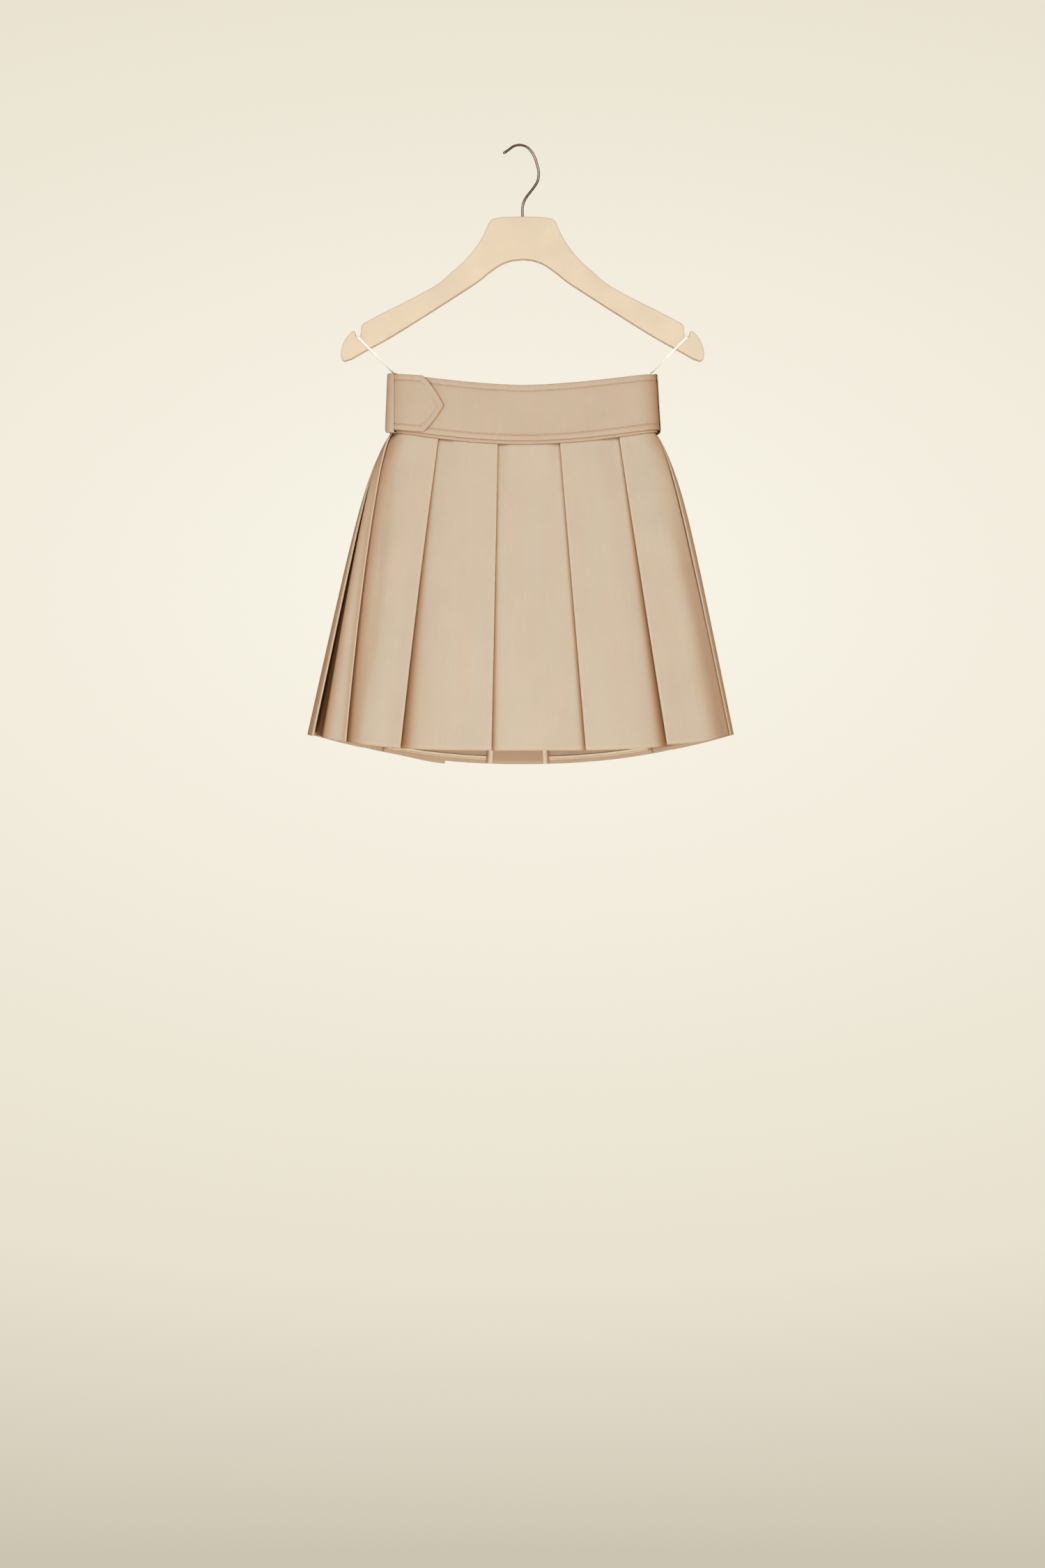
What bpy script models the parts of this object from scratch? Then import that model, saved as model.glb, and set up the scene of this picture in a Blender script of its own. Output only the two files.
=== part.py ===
"""A pleated mini skirt with a wide wrapped belt, hung by two ribbon loops on a coat hanger.

Metres, +Z up. The front faces -Y and +X is on the right, seen from the front. The origin is the
underside of the hanger hook's top, where a rail carries it.

The cloth follows level sections. A point of a section is a distance along the section, measured
from the centre back by way of the left side, and a distance outwards from it.
"""

import math
from collections import namedtuple

import bmesh
import bpy
import numpy as np
from mathutils import Vector

MM = 0.001

# Cloth walls, and the space between cloth that lies on cloth.
SKIRT_WALL = 1.2 * MM
BAND_WALL = 1.8 * MM
BELT_WALL = 2.0 * MM
LOOP_WALL = 1.0 * MM
TAPE_WALL = 0.8 * MM
SEAM_GAP = 0.3 * MM
LAYER_GAP = 0.6 * MM
TAB_GAP = 0.5 * MM
BAND_GAP = 0.45 * MM
PITCH = SKIRT_WALL + LAYER_GAP
UNDER = -2 * PITCH
TURN = PITCH / 2

# How far out of the section each layer's middle lies at the waist.
BAND_OUT = SKIRT_WALL / 2 + BAND_GAP + BAND_WALL / 2
BELT_OUT = BAND_OUT + BAND_WALL / 2 + SEAM_GAP + BELT_WALL / 2
TAB_OUT = BELT_OUT + BELT_WALL + TAB_GAP
LOOP_OUT = TAB_OUT + BELT_WALL / 2 + SEAM_GAP + LOOP_WALL / 2

# A level section is an ellipse with rounding added all round it.
WAIST_HALF_WIDTH = 161.3 * MM
BAND_TOP_HALF_WIDTH = 157.3 * MM
HEM_HALF_WIDTH = 255.0 * MM
WAIST_CENTRE = 1.0 * MM
HIP_SPRING = 20.0 * MM
HIP_SPRING_SHARE = 0.12
WAIST_FRONT_DEPTH = 30.0 * MM
WAIST_BACK_DEPTH = 34.0 * MM
HEM_FRONT_DEPTH = 86.0 * MM
HEM_BACK_DEPTH = 94.0 * MM
WAIST_ROUNDING = 15.0 * MM
HEM_ROUNDING = 36.0 * MM
SECTION_SAMPLES = 1440
BEND_WEIGHT = 100.0 * MM

# Edges that run round the body: height at the side seams, and the sag at the centre front and
# centre back. A higher power keeps the sag flat for longer before it rises to the sides.
Edge = namedtuple("Edge", "side front_sag back_sag front_power back_power")
BELT_TOP = Edge(-279.0 * MM, 16.7 * MM, 24.0 * MM, 1.6, 1.7)
BAND_TOP = Edge(-279.8 * MM, 16.7 * MM, 24.0 * MM, 1.6, 1.7)
BELT_BOTTOM = Edge(-346.1 * MM, 17.0 * MM, 24.5 * MM, 1.8, 1.8)
BAND_BOTTOM = Edge(-349.1 * MM, 17.8 * MM, 27.0 * MM, 1.9, 1.9)
HEM = Edge(-716.8 * MM, 20.7 * MM, 35.4 * MM, 3.5, 2.2)
TUCKED_IN = 9.0 * MM
BELOW_BAND = 0.8 * MM

# Levels of the skirt, as a share of the way from the waist seam to the hem.
LEVELS = (0.0, 0.06, 0.14, 0.24, 0.36, 0.5, 0.65, 0.82, 1.0)
TUCKED_LEVEL = -0.01

# Pleats. The two places are distances along the section at the waist and at the hem, from the
# point that measured_from names. upper is -1 where the panel before the fold lies on top of the
# next, and +1 where it lies under it. lift is how far the fold stands off at the hem, and drop
# how far its corner hangs below the hem. A seamed pleat has two pieces joined at its inner edge.
Pleat = namedtuple("Pleat", "name measured_from waist hem upper depth_waist depth_hem lift drop seamed")
PLEATS = (
    Pleat("back_left_inner", "back_left", 47.0, 93.0, +1, 26.0, 76.0, 2.0, 3.6, False),
    Pleat("back_left_outer", "back_left", 102.0, 196.0, +1, 26.0, 50.0, 3.0, 0.0, False),
    Pleat("side_left", "front", -184.0, -268.0, -1, 22.0, 46.0, 9.0, 0.0, True),
    Pleat("front_left_outer", "front", -170.0, -212.0, -1, 4.0, 24.0, 3.6, 0.0, False),
    Pleat("front_left_middle", "front", -104.3, -146.0, -1, 26.0, 44.0, 5.0, 0.0, False),
    Pleat("front_left_inner", "front", -31.8, -37.9, -1, 26.0, 44.0, 1.8, 0.0, False),
    Pleat("front_right_inner", "front", 45.4, 76.5, +1, 26.0, 44.0, 1.8, 0.0, False),
    Pleat("front_right_middle", "front", 117.6, 173.5, +1, 24.0, 44.0, 4.6, -2.0, False),
    Pleat("side_right", "front", 174.0, 281.0, +1, 22.0, 46.0, 4.0, 0.0, True),
    Pleat("back_right_outer", "back_right", -102.0, -196.0, -1, 26.0, 50.0, 3.0, 0.0, False),
    Pleat("back_right_inner", "back_right", -47.0, -93.0, -1, 26.0, 76.0, 2.0, 0.0, False),
)
LAST_FRONT_PLEAT = 8
FIRST_FRONT_PLEAT = 2

# How far each panel's middle swells out at the hem, from the centre back round to it again.
SWELL_AT_HEM = (1.5, 2.5, 5.0, 3.0, 2.5, 1.5, 1.0, 1.5, 3.0, 5.0, 2.5, 1.5)
RISE_SHARE = 0.45
RISE_FROM = 2.2 * MM
LIFT_REACH_SHARE = 0.55

# The inverted pleat at the centre back, with an underlay of its own.
BACK_SHIFT_WAIST = 2.0 * MM
BACK_SHIFT_HEM = 6.0 * MM
BACK_EDGE_GAP = 3.6 * MM
UNDERLAY_HALF_WAIST = 21.0 * MM
UNDERLAY_HALF_HEM = 37.5 * MM
BINDING_WIDTH = 5.5 * MM
HEM_TAPE_WIDTH = 4.6 * MM
HEM_TAPE_ABOVE_HEM = 5.0 * MM

# The belt: it starts under the tab, goes once round and ends in the tab's rounded point.
BELT_START = -148.0 * MM
TAB_CORNER = -121.0 * MM
TAB_TIP = -95.5 * MM
TAB_RISE_FROM = -171.0 * MM
TAB_RISE_TO = -152.0 * MM
TAB_TIP_HALF_HEIGHT = 1.6 * MM
TAB_RAISE = 2.4 * MM
LOOP_PLACES = {"belt_loop_left": -160.0 * MM, "belt_loop_right": 178.0 * MM}
LOOP_WIDTH = 12.0 * MM
LOOP_OVERHANG = 3.4 * MM

# The hanger's outline from its middle to its right tip and back, in its own plane (x, z).
HANGER_THICKNESS = 12.0 * MM
HANGER_ROUNDING = 1.6 * MM
NECK_TOP = -85.9
NECK_ARCH = -137.8
HANGER_UPPER = (
    (22.0, -86.6), (35.0, -88.6), (40.5, -93.0), (44.5, -102.0), (52.7, -117.5), (68.0, -137.1),
    (86.2, -153.8), (104.6, -169.1), (137.7, -187.4), (168.3, -202.6), (193.5, -216.2),
)
HANGER_NOTCH = ((196.6, -219.6), (197.2, -228.0), (198.3, -232.6), (202.3, -232.6), (203.3, -228.6))
HANGER_TIP = (
    (204.4, -226.0), (206.8, -225.6), (212.0, -230.5), (217.0, -237.6), (220.2, -246.0),
    (221.3, -254.0), (220.4, -259.4), (216.5, -262.0),
)
HANGER_LOWER = (
    (207.7, -259.0), (190.0, -248.8), (160.0, -232.2), (116.5, -205.2), (86.2, -185.8), (56.0, -166.2),
    (40.8, -154.2), (25.5, -143.8), (12.0, -138.9),
)

# The hook's line in its own plane, from the tip to the foot in the neck: (across, up).
HOOK_WIRE = 3.2 * MM
HOOK_TURN = math.radians(36)
HOOK_LINE = (
    (-27.5, -11.5), (-21.3, -7.0), (-14.3, -1.9), (-9.0, 0.5), (-3.7, 1.6), (1.5, 1.6), (7.5, 0.2),
    (13.8, -4.2), (19.0, -11.2), (22.2, -19.2), (24.2, -25.8), (24.4, -32.2), (22.7, -39.2),
    (17.9, -46.4), (11.9, -53.6), (5.8, -60.9), (1.9, -67.4), (0.0, -75.0), (0.0, -86.0), (0.0, -101.0),
)
HOOK_SOCKET = 0.3 * MM

# The ribbon loops that carry the skirt, from the inside of the band up to the top of the notch.
# lean turns the ribbon's width from level in the picture plane, and twist turns it towards Y.
RIBBON_WIDTH = 3.0 * MM
RIBBON_WALL = 1.0 * MM
Station = namedtuple("Station", "x z y lean twist")
RIBBON_ROUTE = (
    Station(155.8, -290.0, 2.0, 0, 90),
    Station(155.4, -281.0, 2.0, 0, 90),
    Station(156.5, -276.6, 2.0, 45, 90),
    Station(160.6, -273.1, 2.1, 45, 78),
    Station(171.5, -262.1, 3.4, 45, 50),
    Station(180.0, -253.5, 5.2, 45, 22),
    Station(184.7, -248.8, 6.9, 45, 0),
    Station(198.3, -235.1, 6.8, 45, 0),
    Station(200.0, -232.9, 6.6, 25, 0),
    Station(200.3, -231.7, 5.0, 5, 0),
    Station(200.3, -231.6, 2.5, 0, 0),
)


def mix(a, b, share):
    return a + (b - a) * share


def smooth(share):
    share = min(1.0, max(0.0, share))
    return share * share * (3 - 2 * share)


class Section:
    """One level section: places and outward directions along its length from the centre back."""

    def __init__(self, half_width, front_depth, back_depth, rounding, centre):
        turn = np.linspace(0, 2 * math.pi, SECTION_SAMPLES + 1)
        depth = np.where(np.cos(turn) > 0, back_depth, front_depth) - rounding
        inner = np.stack([-(half_width - rounding) * np.sin(turn), depth * np.cos(turn)], axis=1)
        outward = np.stack([-depth * np.sin(turn), (half_width - rounding) * np.cos(turn)], axis=1)
        self.outward = outward / np.linalg.norm(outward, axis=1)[:, None]
        self.points = inner + rounding * self.outward
        steps = np.linalg.norm(np.diff(self.points, axis=0), axis=1)
        self.along = np.concatenate([[0], np.cumsum(steps)])
        self.length = self.along[-1]
        self.half_width = half_width
        self.centre = centre
        self.front = float(np.interp(SECTION_SAMPLES / 2, np.arange(SECTION_SAMPLES + 1), self.along))
        facing = np.unwrap(np.arctan2(self.outward[:, 1], self.outward[:, 0]))
        self.weight = self.along + BEND_WEIGHT * np.abs(facing - facing[0])

    def at(self, place, out=0.0):
        """The x and y of a place along the section, moved outwards, and its share of the half width."""
        place = place % self.length
        x, y = (np.interp(place, self.along, self.points[:, k]) for k in (0, 1))
        nx, ny = (np.interp(place, self.along, self.outward[:, k]) for k in (0, 1))
        return self.centre + x + nx * out, y + ny * out, x / self.half_width, y > 0

    def spread(self, start, end, steps):
        """Places from start to end, closer together where the section bends."""
        low, high = (
            self.weight[-1] * (place // self.length)
            + np.interp(place % self.length, self.along, self.weight)
            for place in (start, end)
        )
        places = []
        for step in range(steps + 1):
            value = mix(low, high, step / steps)
            turns = value // self.weight[-1]
            within = np.interp(value - turns * self.weight[-1], self.weight, self.along)
            places.append(turns * self.length + within)
        return places


def edge_height(edge, across, at_back):
    """The height of an edge at a share of the half width."""
    sag, power = (
        (edge.back_sag, edge.back_power) if at_back else (edge.front_sag, edge.front_power)
    )
    return edge.side - sag * (1 - min(1.0, abs(across)) ** power)


def skirt_section(level):
    """The section at a share of the way from the waist seam to the hem, or tucked in above it."""
    if level < 0:
        return band_section((TUCKED_IN - BELOW_BAND) / (BELT_TOP.side - BELT_BOTTOM.side))
    spring = HIP_SPRING * (1 - math.exp(-level / HIP_SPRING_SHARE))
    straight = mix(WAIST_HALF_WIDTH, HEM_HALF_WIDTH - HIP_SPRING, level)
    return Section(
        straight + spring,
        mix(WAIST_FRONT_DEPTH, HEM_FRONT_DEPTH, level),
        mix(WAIST_BACK_DEPTH, HEM_BACK_DEPTH, level),
        mix(WAIST_ROUNDING, HEM_ROUNDING, level),
        mix(WAIST_CENTRE, 0.0, level),
    )


def band_section(height_share):
    """The section of the waistband, from its lower edge at 0 to its upper edge at 1."""
    return Section(
        mix(WAIST_HALF_WIDTH, BAND_TOP_HALF_WIDTH, height_share),
        WAIST_FRONT_DEPTH,
        WAIST_BACK_DEPTH,
        WAIST_ROUNDING,
        WAIST_CENTRE,
    )


def skirt_point(section, level, place, out, drop=0.0):
    """A point of the skirt. A level below 0 is tucked in behind the waistband."""
    x, y, across, at_back = section.at(place, out)
    seam, hem = (edge_height(edge, across, at_back) for edge in (BAND_BOTTOM, HEM))
    seam -= BELOW_BAND
    z = mix(seam, hem, level) if level >= 0 else seam + TUCKED_IN
    return x, y, z - drop * max(0.0, level) ** 2


def back_shift(level):
    return mix(BACK_SHIFT_WAIST, BACK_SHIFT_HEM, level)


def pleat_place(pleat, section, level):
    """Where a pleat's folded edge lies along the section."""
    value = mix(pleat.waist, pleat.hem, level) * MM
    if pleat.measured_from == "front":
        return section.front + value
    start = section.length if pleat.measured_from == "back_right" else 0.0
    return start + back_shift(level) + value


class Panel:
    """The cloth that shows between two pleats, at one level."""

    def __init__(self, index, section, level):
        self.level = level
        self.before = PLEATS[index - 1] if index > 0 else None
        self.after = PLEATS[index] if index < len(PLEATS) else None
        centre = back_shift(level)
        self.start = pleat_place(self.before, section, level) if self.before else centre
        self.end = pleat_place(self.after, section, level) if self.after else section.length + centre
        self.start += 0.0 if self.before else BACK_EDGE_GAP / 2
        self.end -= 0.0 if self.after else BACK_EDGE_GAP / 2
        self.width = self.end - self.start
        self.starts_under = bool(self.before) and self.before.upper < 0
        self.ends_under = bool(self.after) and self.after.upper > 0
        self.swell = SWELL_AT_HEM[index] * MM * level
        self.start_lift = 0.0 if self.starts_under or not self.before else lift_of(self.before, level)
        self.end_lift = 0.0 if self.ends_under or not self.after else lift_of(self.after, level)
        widest = 0.0
        if self.before and not self.starts_under:
            widest = depth_of(self.before, level)
        if self.after and not self.ends_under:
            widest = max(widest, depth_of(self.after, level))
        if not (self.before and self.after):
            widest = max(widest, underlay_half(level))
        self.rise = min(RISE_SHARE * self.width, self.width - widest - 3.2 * MM)

    def out(self, place):
        """How far out the panel's middle lies at a place."""
        from_start, to_end = place - self.start, self.end - place
        value = self.swell * math.sin(math.pi * min(1.0, max(0.0, from_start / self.width)))
        if self.starts_under and self.ends_under:
            return UNDER + value
        if self.starts_under:
            value += UNDER * (1 - smooth((from_start - RISE_FROM) / (self.rise - RISE_FROM)))
        if self.ends_under:
            value += UNDER * (1 - smooth((to_end - RISE_FROM) / (self.rise - RISE_FROM)))
        reach = LIFT_REACH_SHARE * self.width
        value += self.start_lift * max(0.0, 1 - from_start / reach) ** 2
        value += self.end_lift * max(0.0, 1 - to_end / reach) ** 2
        return value

    def places(self):
        """Where the panel is sampled, from its start to its end, in step with the layers under it."""
        ends = []
        for pleat, under in ((self.before, self.starts_under), (self.after, self.ends_under)):
            if under:
                reach = min(self.rise, 0.4 * self.width)
                ends.append((0.0, RISE_FROM, mix(RISE_FROM, reach, 0.5), reach))
            else:
                reach = depth_of(pleat, self.level) if pleat else underlay_half(self.level)
                ends.append((0.0, reach / 2, reach))
        left = [self.start + reach for reach in ends[0]]
        right = [self.end - reach for reach in reversed(ends[1])]
        return left + [mix(left[-1], right[0], 0.5)] + right


def depth_of(pleat, level):
    return mix(pleat.depth_waist, pleat.depth_hem, level) * MM


def lift_of(pleat, level):
    return pleat.lift * MM * max(0.0, level) ** 1.3


def underlay_half(level):
    return mix(UNDERLAY_HALF_WAIST, UNDERLAY_HALF_HEM, level)


def half_turn(place, high, low, direction, steps=3):
    """Points of a fold that turns from high to low, bulging along the section in a direction."""
    middle, half = (high + low) / 2, (high - low) / 2
    angles = [math.pi / 2 - math.pi * step / steps for step in range(steps + 1)]
    return [(place + direction * TURN * math.cos(a), middle + half * math.sin(a)) for a in angles]


def upper_side(pleat, panel, level):
    """The folded edge and the return of a pleat, from the panel on top to the inner edge."""
    inwards = pleat.upper
    edge = panel.end if inwards < 0 else panel.start
    depth = depth_of(pleat, level)
    top = panel.out(edge)
    points = half_turn(edge, top, top - PITCH, -inwards)
    middle, inner = edge + inwards * depth / 2, edge + inwards * depth
    points.append((middle, panel.out(middle) - PITCH))
    if pleat.seamed:
        points.append((inner, UNDER + SKIRT_WALL + SEAM_GAP))
    else:
        points += half_turn(inner, panel.out(inner) - PITCH, UNDER, inwards)
    return points


def lower_side(pleat, level, edge):
    """The underlay of a pleat, from its inner edge to just short of the folded edge."""
    depth = depth_of(pleat, level)
    points = [(edge + pleat.upper * depth / 2, UNDER)]
    if pleat.seamed:
        points.insert(0, (edge + pleat.upper * depth, UNDER))
    return points


def panel_points(panel):
    return [(place, panel.out(place)) for place in panel.places()]


def back_edge(panel, level, at_start):
    """The folded edge of a back panel at the centre back, with its return to the underlay's seam."""
    edge, inwards = (panel.start, 1) if at_start else (panel.end, -1)
    half = underlay_half(level)
    top = panel.out(edge)
    points = half_turn(edge, top, top - PITCH, -inwards)
    middle = edge + inwards * half / 2
    points.append((middle, panel.out(middle) - PITCH))
    points.append((edge + inwards * half, UNDER + SKIRT_WALL + SEAM_GAP))
    return points


def piece_path(first, last, section, level):
    """The line through panels first to last and the pleats between them, as (place, out, drop)."""
    panels = {i: Panel(i, section, level) for i in range(first, last + 1)}
    path = []
    opening = PLEATS[first - 1] if first > 0 else None
    if opening is None:
        path += list(reversed(back_edge(panels[first], level, True)))[:-1]
    elif opening.upper < 0:
        path += lower_side(opening, level, panels[first].start)
    else:
        path += list(reversed(upper_side(opening, panels[first], level)))[:-1]
    drops = [0.0] * len(path)
    for i in range(first, last + 1):
        points = panel_points(panels[i])
        path += points
        drops += [0.0] * len(points)
        pleat = PLEATS[i] if i < len(PLEATS) else None
        if pleat is None:
            added = back_edge(panels[i], level, False)[1:]
        elif pleat.upper < 0:
            added = upper_side(pleat, panels[i], level)[1:]
            added += lower_side(pleat, level, panels[i].end) if i < last else []
        else:
            added = list(reversed(lower_side(pleat, level, panels[i].end)))
            if i < last:
                above = Panel(i + 1, section, level)
                added += list(reversed(upper_side(pleat, above, level)))[:-1]
        path += added
        drops += [0.0] * len(added)
    for pleat in PLEATS[max(0, first - 1):last + 1]:
        if pleat.drop:
            hang_corner(path, drops, pleat, section, level)
    return [(place, out, drop) for (place, out), drop in zip(path, drops)]


def hang_corner(path, drops, pleat, section, level):
    """Lowers the upper layer's corner at a pleat, less and less away from the folded edge."""
    edge, reach = pleat_place(pleat, section, level), 0.9 * depth_of(pleat, level)
    for i, (place, out) in enumerate(path):
        inwards = (place - edge) * pleat.upper
        if -2 * TURN < inwards < reach and out > UNDER / 2 - PITCH * 0.3:
            drops[i] += pleat.drop * MM * (1 - smooth(inwards / reach))


def new_object(name, mesh, colour, roughness=0.85, metallic=0.0):
    """Links a mesh as a named piece of the model with its own material."""
    piece = bpy.data.objects.new(name, mesh)
    MODEL.objects.link(piece)
    material = bpy.data.materials.new(name)
    material.use_nodes = True
    shader = material.node_tree.nodes["Principled BSDF"]
    shader.inputs["Base Color"].default_value = (*colour, 1.0)
    shader.inputs["Roughness"].default_value = roughness
    shader.inputs["Metallic"].default_value = metallic
    mesh.materials.clear()
    mesh.materials.append(material)
    return piece


def cloth(name, rows, wall, colour, turned_back=()):
    """A wall of cloth whose middle runs through rows of points, from the lowest row upwards.

    Each four points make two triangles, split the same way in every layer of a pleat. turned_back
    holds the columns that run the other way.
    """
    width = len(rows[0])
    points = [point for row in rows for point in row]
    faces = []
    for r in range(len(rows) - 1):
        for c in range(width - 1):
            a, b = r * width + c, r * width + c + 1
            d, e = a + width, b + width
            faces += [(a, b, d), (b, e, d)] if c in turned_back else [(a, b, e), (a, e, d)]
    mesh = bpy.data.meshes.new(name)
    mesh.from_pydata(points, [], faces)
    piece = new_object(name, mesh, colour)
    solidify = piece.modifiers.new("Wall", "SOLIDIFY")
    solidify.thickness = wall
    solidify.offset = 0.0
    solidify.use_even_offset = True
    solidify.use_quality_normals = True
    mesh.shade_smooth()
    mesh.set_sharp_from_angle(angle=math.radians(35))
    return piece


CLOTH_COLOUR = (0.638, 0.500, 0.352)
TAPE_COLOUR = (0.800, 0.700, 0.540)
RIBBON_COLOUR = (0.900, 0.870, 0.780)
HANGER_COLOUR = (0.820, 0.680, 0.490)
WIRE_COLOUR = (0.420, 0.390, 0.350)


def skirt_piece(name, first, last):
    """One sewn piece of the skirt, through its panels and pleats."""
    rows, turned_back = [], set()
    for level in reversed((TUCKED_LEVEL,) + LEVELS):
        section = skirt_section(level)
        path = piece_path(first, last, section, max(0.0, level))
        if level == LEVELS[-1]:
            turned_back = {c for c in range(len(path) - 1) if path[c + 1][0] < path[c][0]}
        rows.append([skirt_point(section, level, *point) for point in path])
    return cloth(name, rows, SKIRT_WALL, CLOTH_COLOUR, turned_back)


def underlay_rows(shares, out):
    """Rows of points across the centre back underlay."""
    rows = []
    for level in reversed((TUCKED_LEVEL,) + LEVELS):
        section = skirt_section(level)
        half, centre = underlay_half(max(0.0, level)), back_shift(max(0.0, level))
        rows.append([skirt_point(section, level, centre + share * half, out) for share in shares])
    return rows


def back_underlay():
    return cloth(
        "back_pleat_underlay", underlay_rows((-1, -0.5, 0, 0.5, 1), UNDER), SKIRT_WALL, CLOTH_COLOUR
    )


def seam_bindings():
    """The tapes that bind the underlay's two seams on the inside."""
    out = UNDER - SKIRT_WALL / 2 - SEAM_GAP - TAPE_WALL / 2
    for name, side in (("seam_binding_left", 1), ("seam_binding_right", -1)):
        rows = []
        for level in reversed(LEVELS):
            section = skirt_section(level)
            edge = back_shift(level) + side * underlay_half(level)
            ends = sorted((edge, edge - side * BINDING_WIDTH))
            rows.append([skirt_point(section, level, place, out) for place in ends])
        cloth(name, rows, TAPE_WALL, TAPE_COLOUR)


def hem_tapes():
    """The tapes over the turned-up hem of the two back panels, where they show from inside."""
    inwards = SKIRT_WALL / 2 + SEAM_GAP + TAPE_WALL / 2
    for name, index, pleat_index, side in (("hem_tape_left", 0, 0, 1), ("hem_tape_right", 11, 10, -1)):
        lines = []
        for level in LEVELS[-2:]:
            section = skirt_section(level)
            panel, pleat = Panel(index, section, level), PLEATS[pleat_index]
            edge = pleat_place(pleat, section, level)
            centre = back_shift(level) + (0.0 if side > 0 else section.length)
            start = centre + side * (underlay_half(level) + 1.5 * MM)
            places = [mix(start, edge, share) for share in (0, 0.2, 0.4, 0.6, 0.8)]
            places += [edge + side * depth_of(pleat, level) * share for share in (0, 0.5, 0.96)]
            line = []
            for place in places:
                under = (place - edge) * side >= 0
                out = (UNDER if under else panel.out(place)) - inwards
                line.append(Vector(skirt_point(section, level, place, out)))
            lines.append(line)
        rows = []
        for above in (HEM_TAPE_ABOVE_HEM, HEM_TAPE_ABOVE_HEM + HEM_TAPE_WIDTH):
            row = [low.lerp(high, above / (high - low).length) for high, low in zip(*lines)]
            rows.append(row if side > 0 else row[::-1])
        cloth(name, rows, TAPE_WALL, TAPE_COLOUR)


def side_places(section):
    """The two side seams' places along the section, left and right."""
    return section.length * 0.25, section.length * 0.75


def waistband():
    """The band that the belt covers, in a front and a back piece that meet at the side seams."""
    columns = 20
    for name, at_back in (("waistband_front", False), ("waistband_back", True)):
        rows = []
        for share, edge in ((0.0, BAND_BOTTOM), (0.5, None), (1.0, BAND_TOP)):
            section = band_section(share)
            left, right = side_places(section)
            start, end = (right - section.length, left) if at_back else (left, right)
            start, end = start + SEAM_GAP / 2, end - SEAM_GAP / 2
            row = []
            for place in section.spread(start, end, columns):
                x, y, across, behind = section.at(place, BAND_OUT)
                if edge:
                    z = edge_height(edge, across, behind)
                else:
                    z = mix(
                        edge_height(BAND_BOTTOM, across, behind), edge_height(BAND_TOP, across, behind), 0.5
                    )
                row.append((x, y, z))
            rows.append(row)
        cloth(name, rows, BAND_WALL, CLOTH_COLOUR)


def belt_places(section):
    """Where the belt is sampled along the section, and how far out: round once and over its start."""
    start, turn = section.front + BELT_START, section.length
    plain_end = section.front + TAB_RISE_FROM + turn
    places = section.spread(start, plain_end, 44)[:-1]
    rise = [section.front + turn + mix(TAB_RISE_FROM, TAB_RISE_TO, i / 4) for i in range(5)]
    flat = section.spread(section.front + turn + TAB_RISE_TO, section.front + turn + TAB_CORNER, 5)[1:]
    tip = [section.front + turn + mix(TAB_CORNER, TAB_TIP, share) for share in (0.12, 0.4, 0.7, 0.93, 1)]
    return places + rise + flat + tip


def belt_out(place, section):
    past = place - section.front - section.length
    return mix(BELT_OUT, TAB_OUT, smooth((past - TAB_RISE_FROM) / (TAB_RISE_TO - TAB_RISE_FROM)))


def tab_progress(place, section, start):
    """How far a place is along the tab, from 0 at a start to 1 at its tip."""
    past = (place - section.front - section.length - start) / (TAB_TIP - start)
    return min(1.0, max(0.0, past))


def tab_share(place, section):
    """How much of its full height the belt has at a place: 1, and less along the tab's point."""
    past = tab_progress(place, section, TAB_CORNER)
    full = (BELT_TOP.side - BELT_BOTTOM.side) / 2
    return max(TAB_TIP_HALF_HEIGHT / full, (1 - past ** 1.25) ** 0.9)


def belt():
    """The belt in one strip, with the tab at its end."""
    rows = []
    for share in (0.0, 0.25, 0.5, 0.75, 1.0):
        section = band_section(share)
        row = []
        for place in belt_places(section):
            x, y, across, behind = section.at(place, belt_out(place, section))
            low, high = (edge_height(edge, across, behind) for edge in (BELT_BOTTOM, BELT_TOP))
            kept = tab_share(place, section)
            raised = TAB_RAISE * tab_progress(place, section, TAB_RISE_TO)
            row.append((x, y, mix(low, high, 0.5 + (share - 0.5) * kept) + raised))
        rows.append(row)
    return cloth("belt", rows, BELT_WALL, CLOTH_COLOUR)


def belt_loops():
    """The carriers at the sides, each from over the band's top, down outside the belt and under it."""
    for name, from_front in LOOP_PLACES.items():
        rows = []
        top, bottom = LOOP_WALL / 2 + SEAM_GAP, -LOOP_OVERHANG
        route = (
            (0.0, BELT_OUT - BELT_WALL / 2 + 0.4 * MM, bottom),
            (0.0, LOOP_OUT - 1.5 * MM, bottom),
            (0.0, LOOP_OUT, bottom + 1.5 * MM),
            (0.33, LOOP_OUT, 0.0),
            (0.67, LOOP_OUT, 0.0),
            (1.0, LOOP_OUT, top - 0.5 * MM),
            (1.0, LOOP_OUT - 0.5 * MM, top),
            (1.0, BAND_OUT, top),
        )
        for share, out, beyond in route:
            section = band_section(share)
            row = []
            for across_loop in (-0.5, -0.17, 0.17, 0.5):
                place = section.front + from_front + across_loop * LOOP_WIDTH
                x, y, across, behind = section.at(place, out)
                low, high = (edge_height(edge, across, behind) for edge in (BELT_BOTTOM, BELT_TOP))
                row.append((x, y, mix(low, high, share) + beyond))
            rows.append(row)
        cloth(name, rows, LOOP_WALL, CLOTH_COLOUR)


def curve_through(points, steps):
    """Points of a smooth curve through the given ones, by Catmull and Rom's rule."""
    points = [Vector(p) for p in points]
    points = [points[0] * 2 - points[1]] + points + [points[-1] * 2 - points[-2]]
    line = []
    for i in range(1, len(points) - 2):
        a, b, c, d = points[i - 1:i + 3]
        for k in range(steps):
            t = k / steps
            line.append(
                0.5 * (2 * b + (c - a) * t)
                + 0.5 * (2 * a - 5 * b + 4 * c - d) * t * t
                + 0.5 * (3 * b - a - 3 * c + d) * t ** 3
            )
    return line + [points[-2]]


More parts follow.
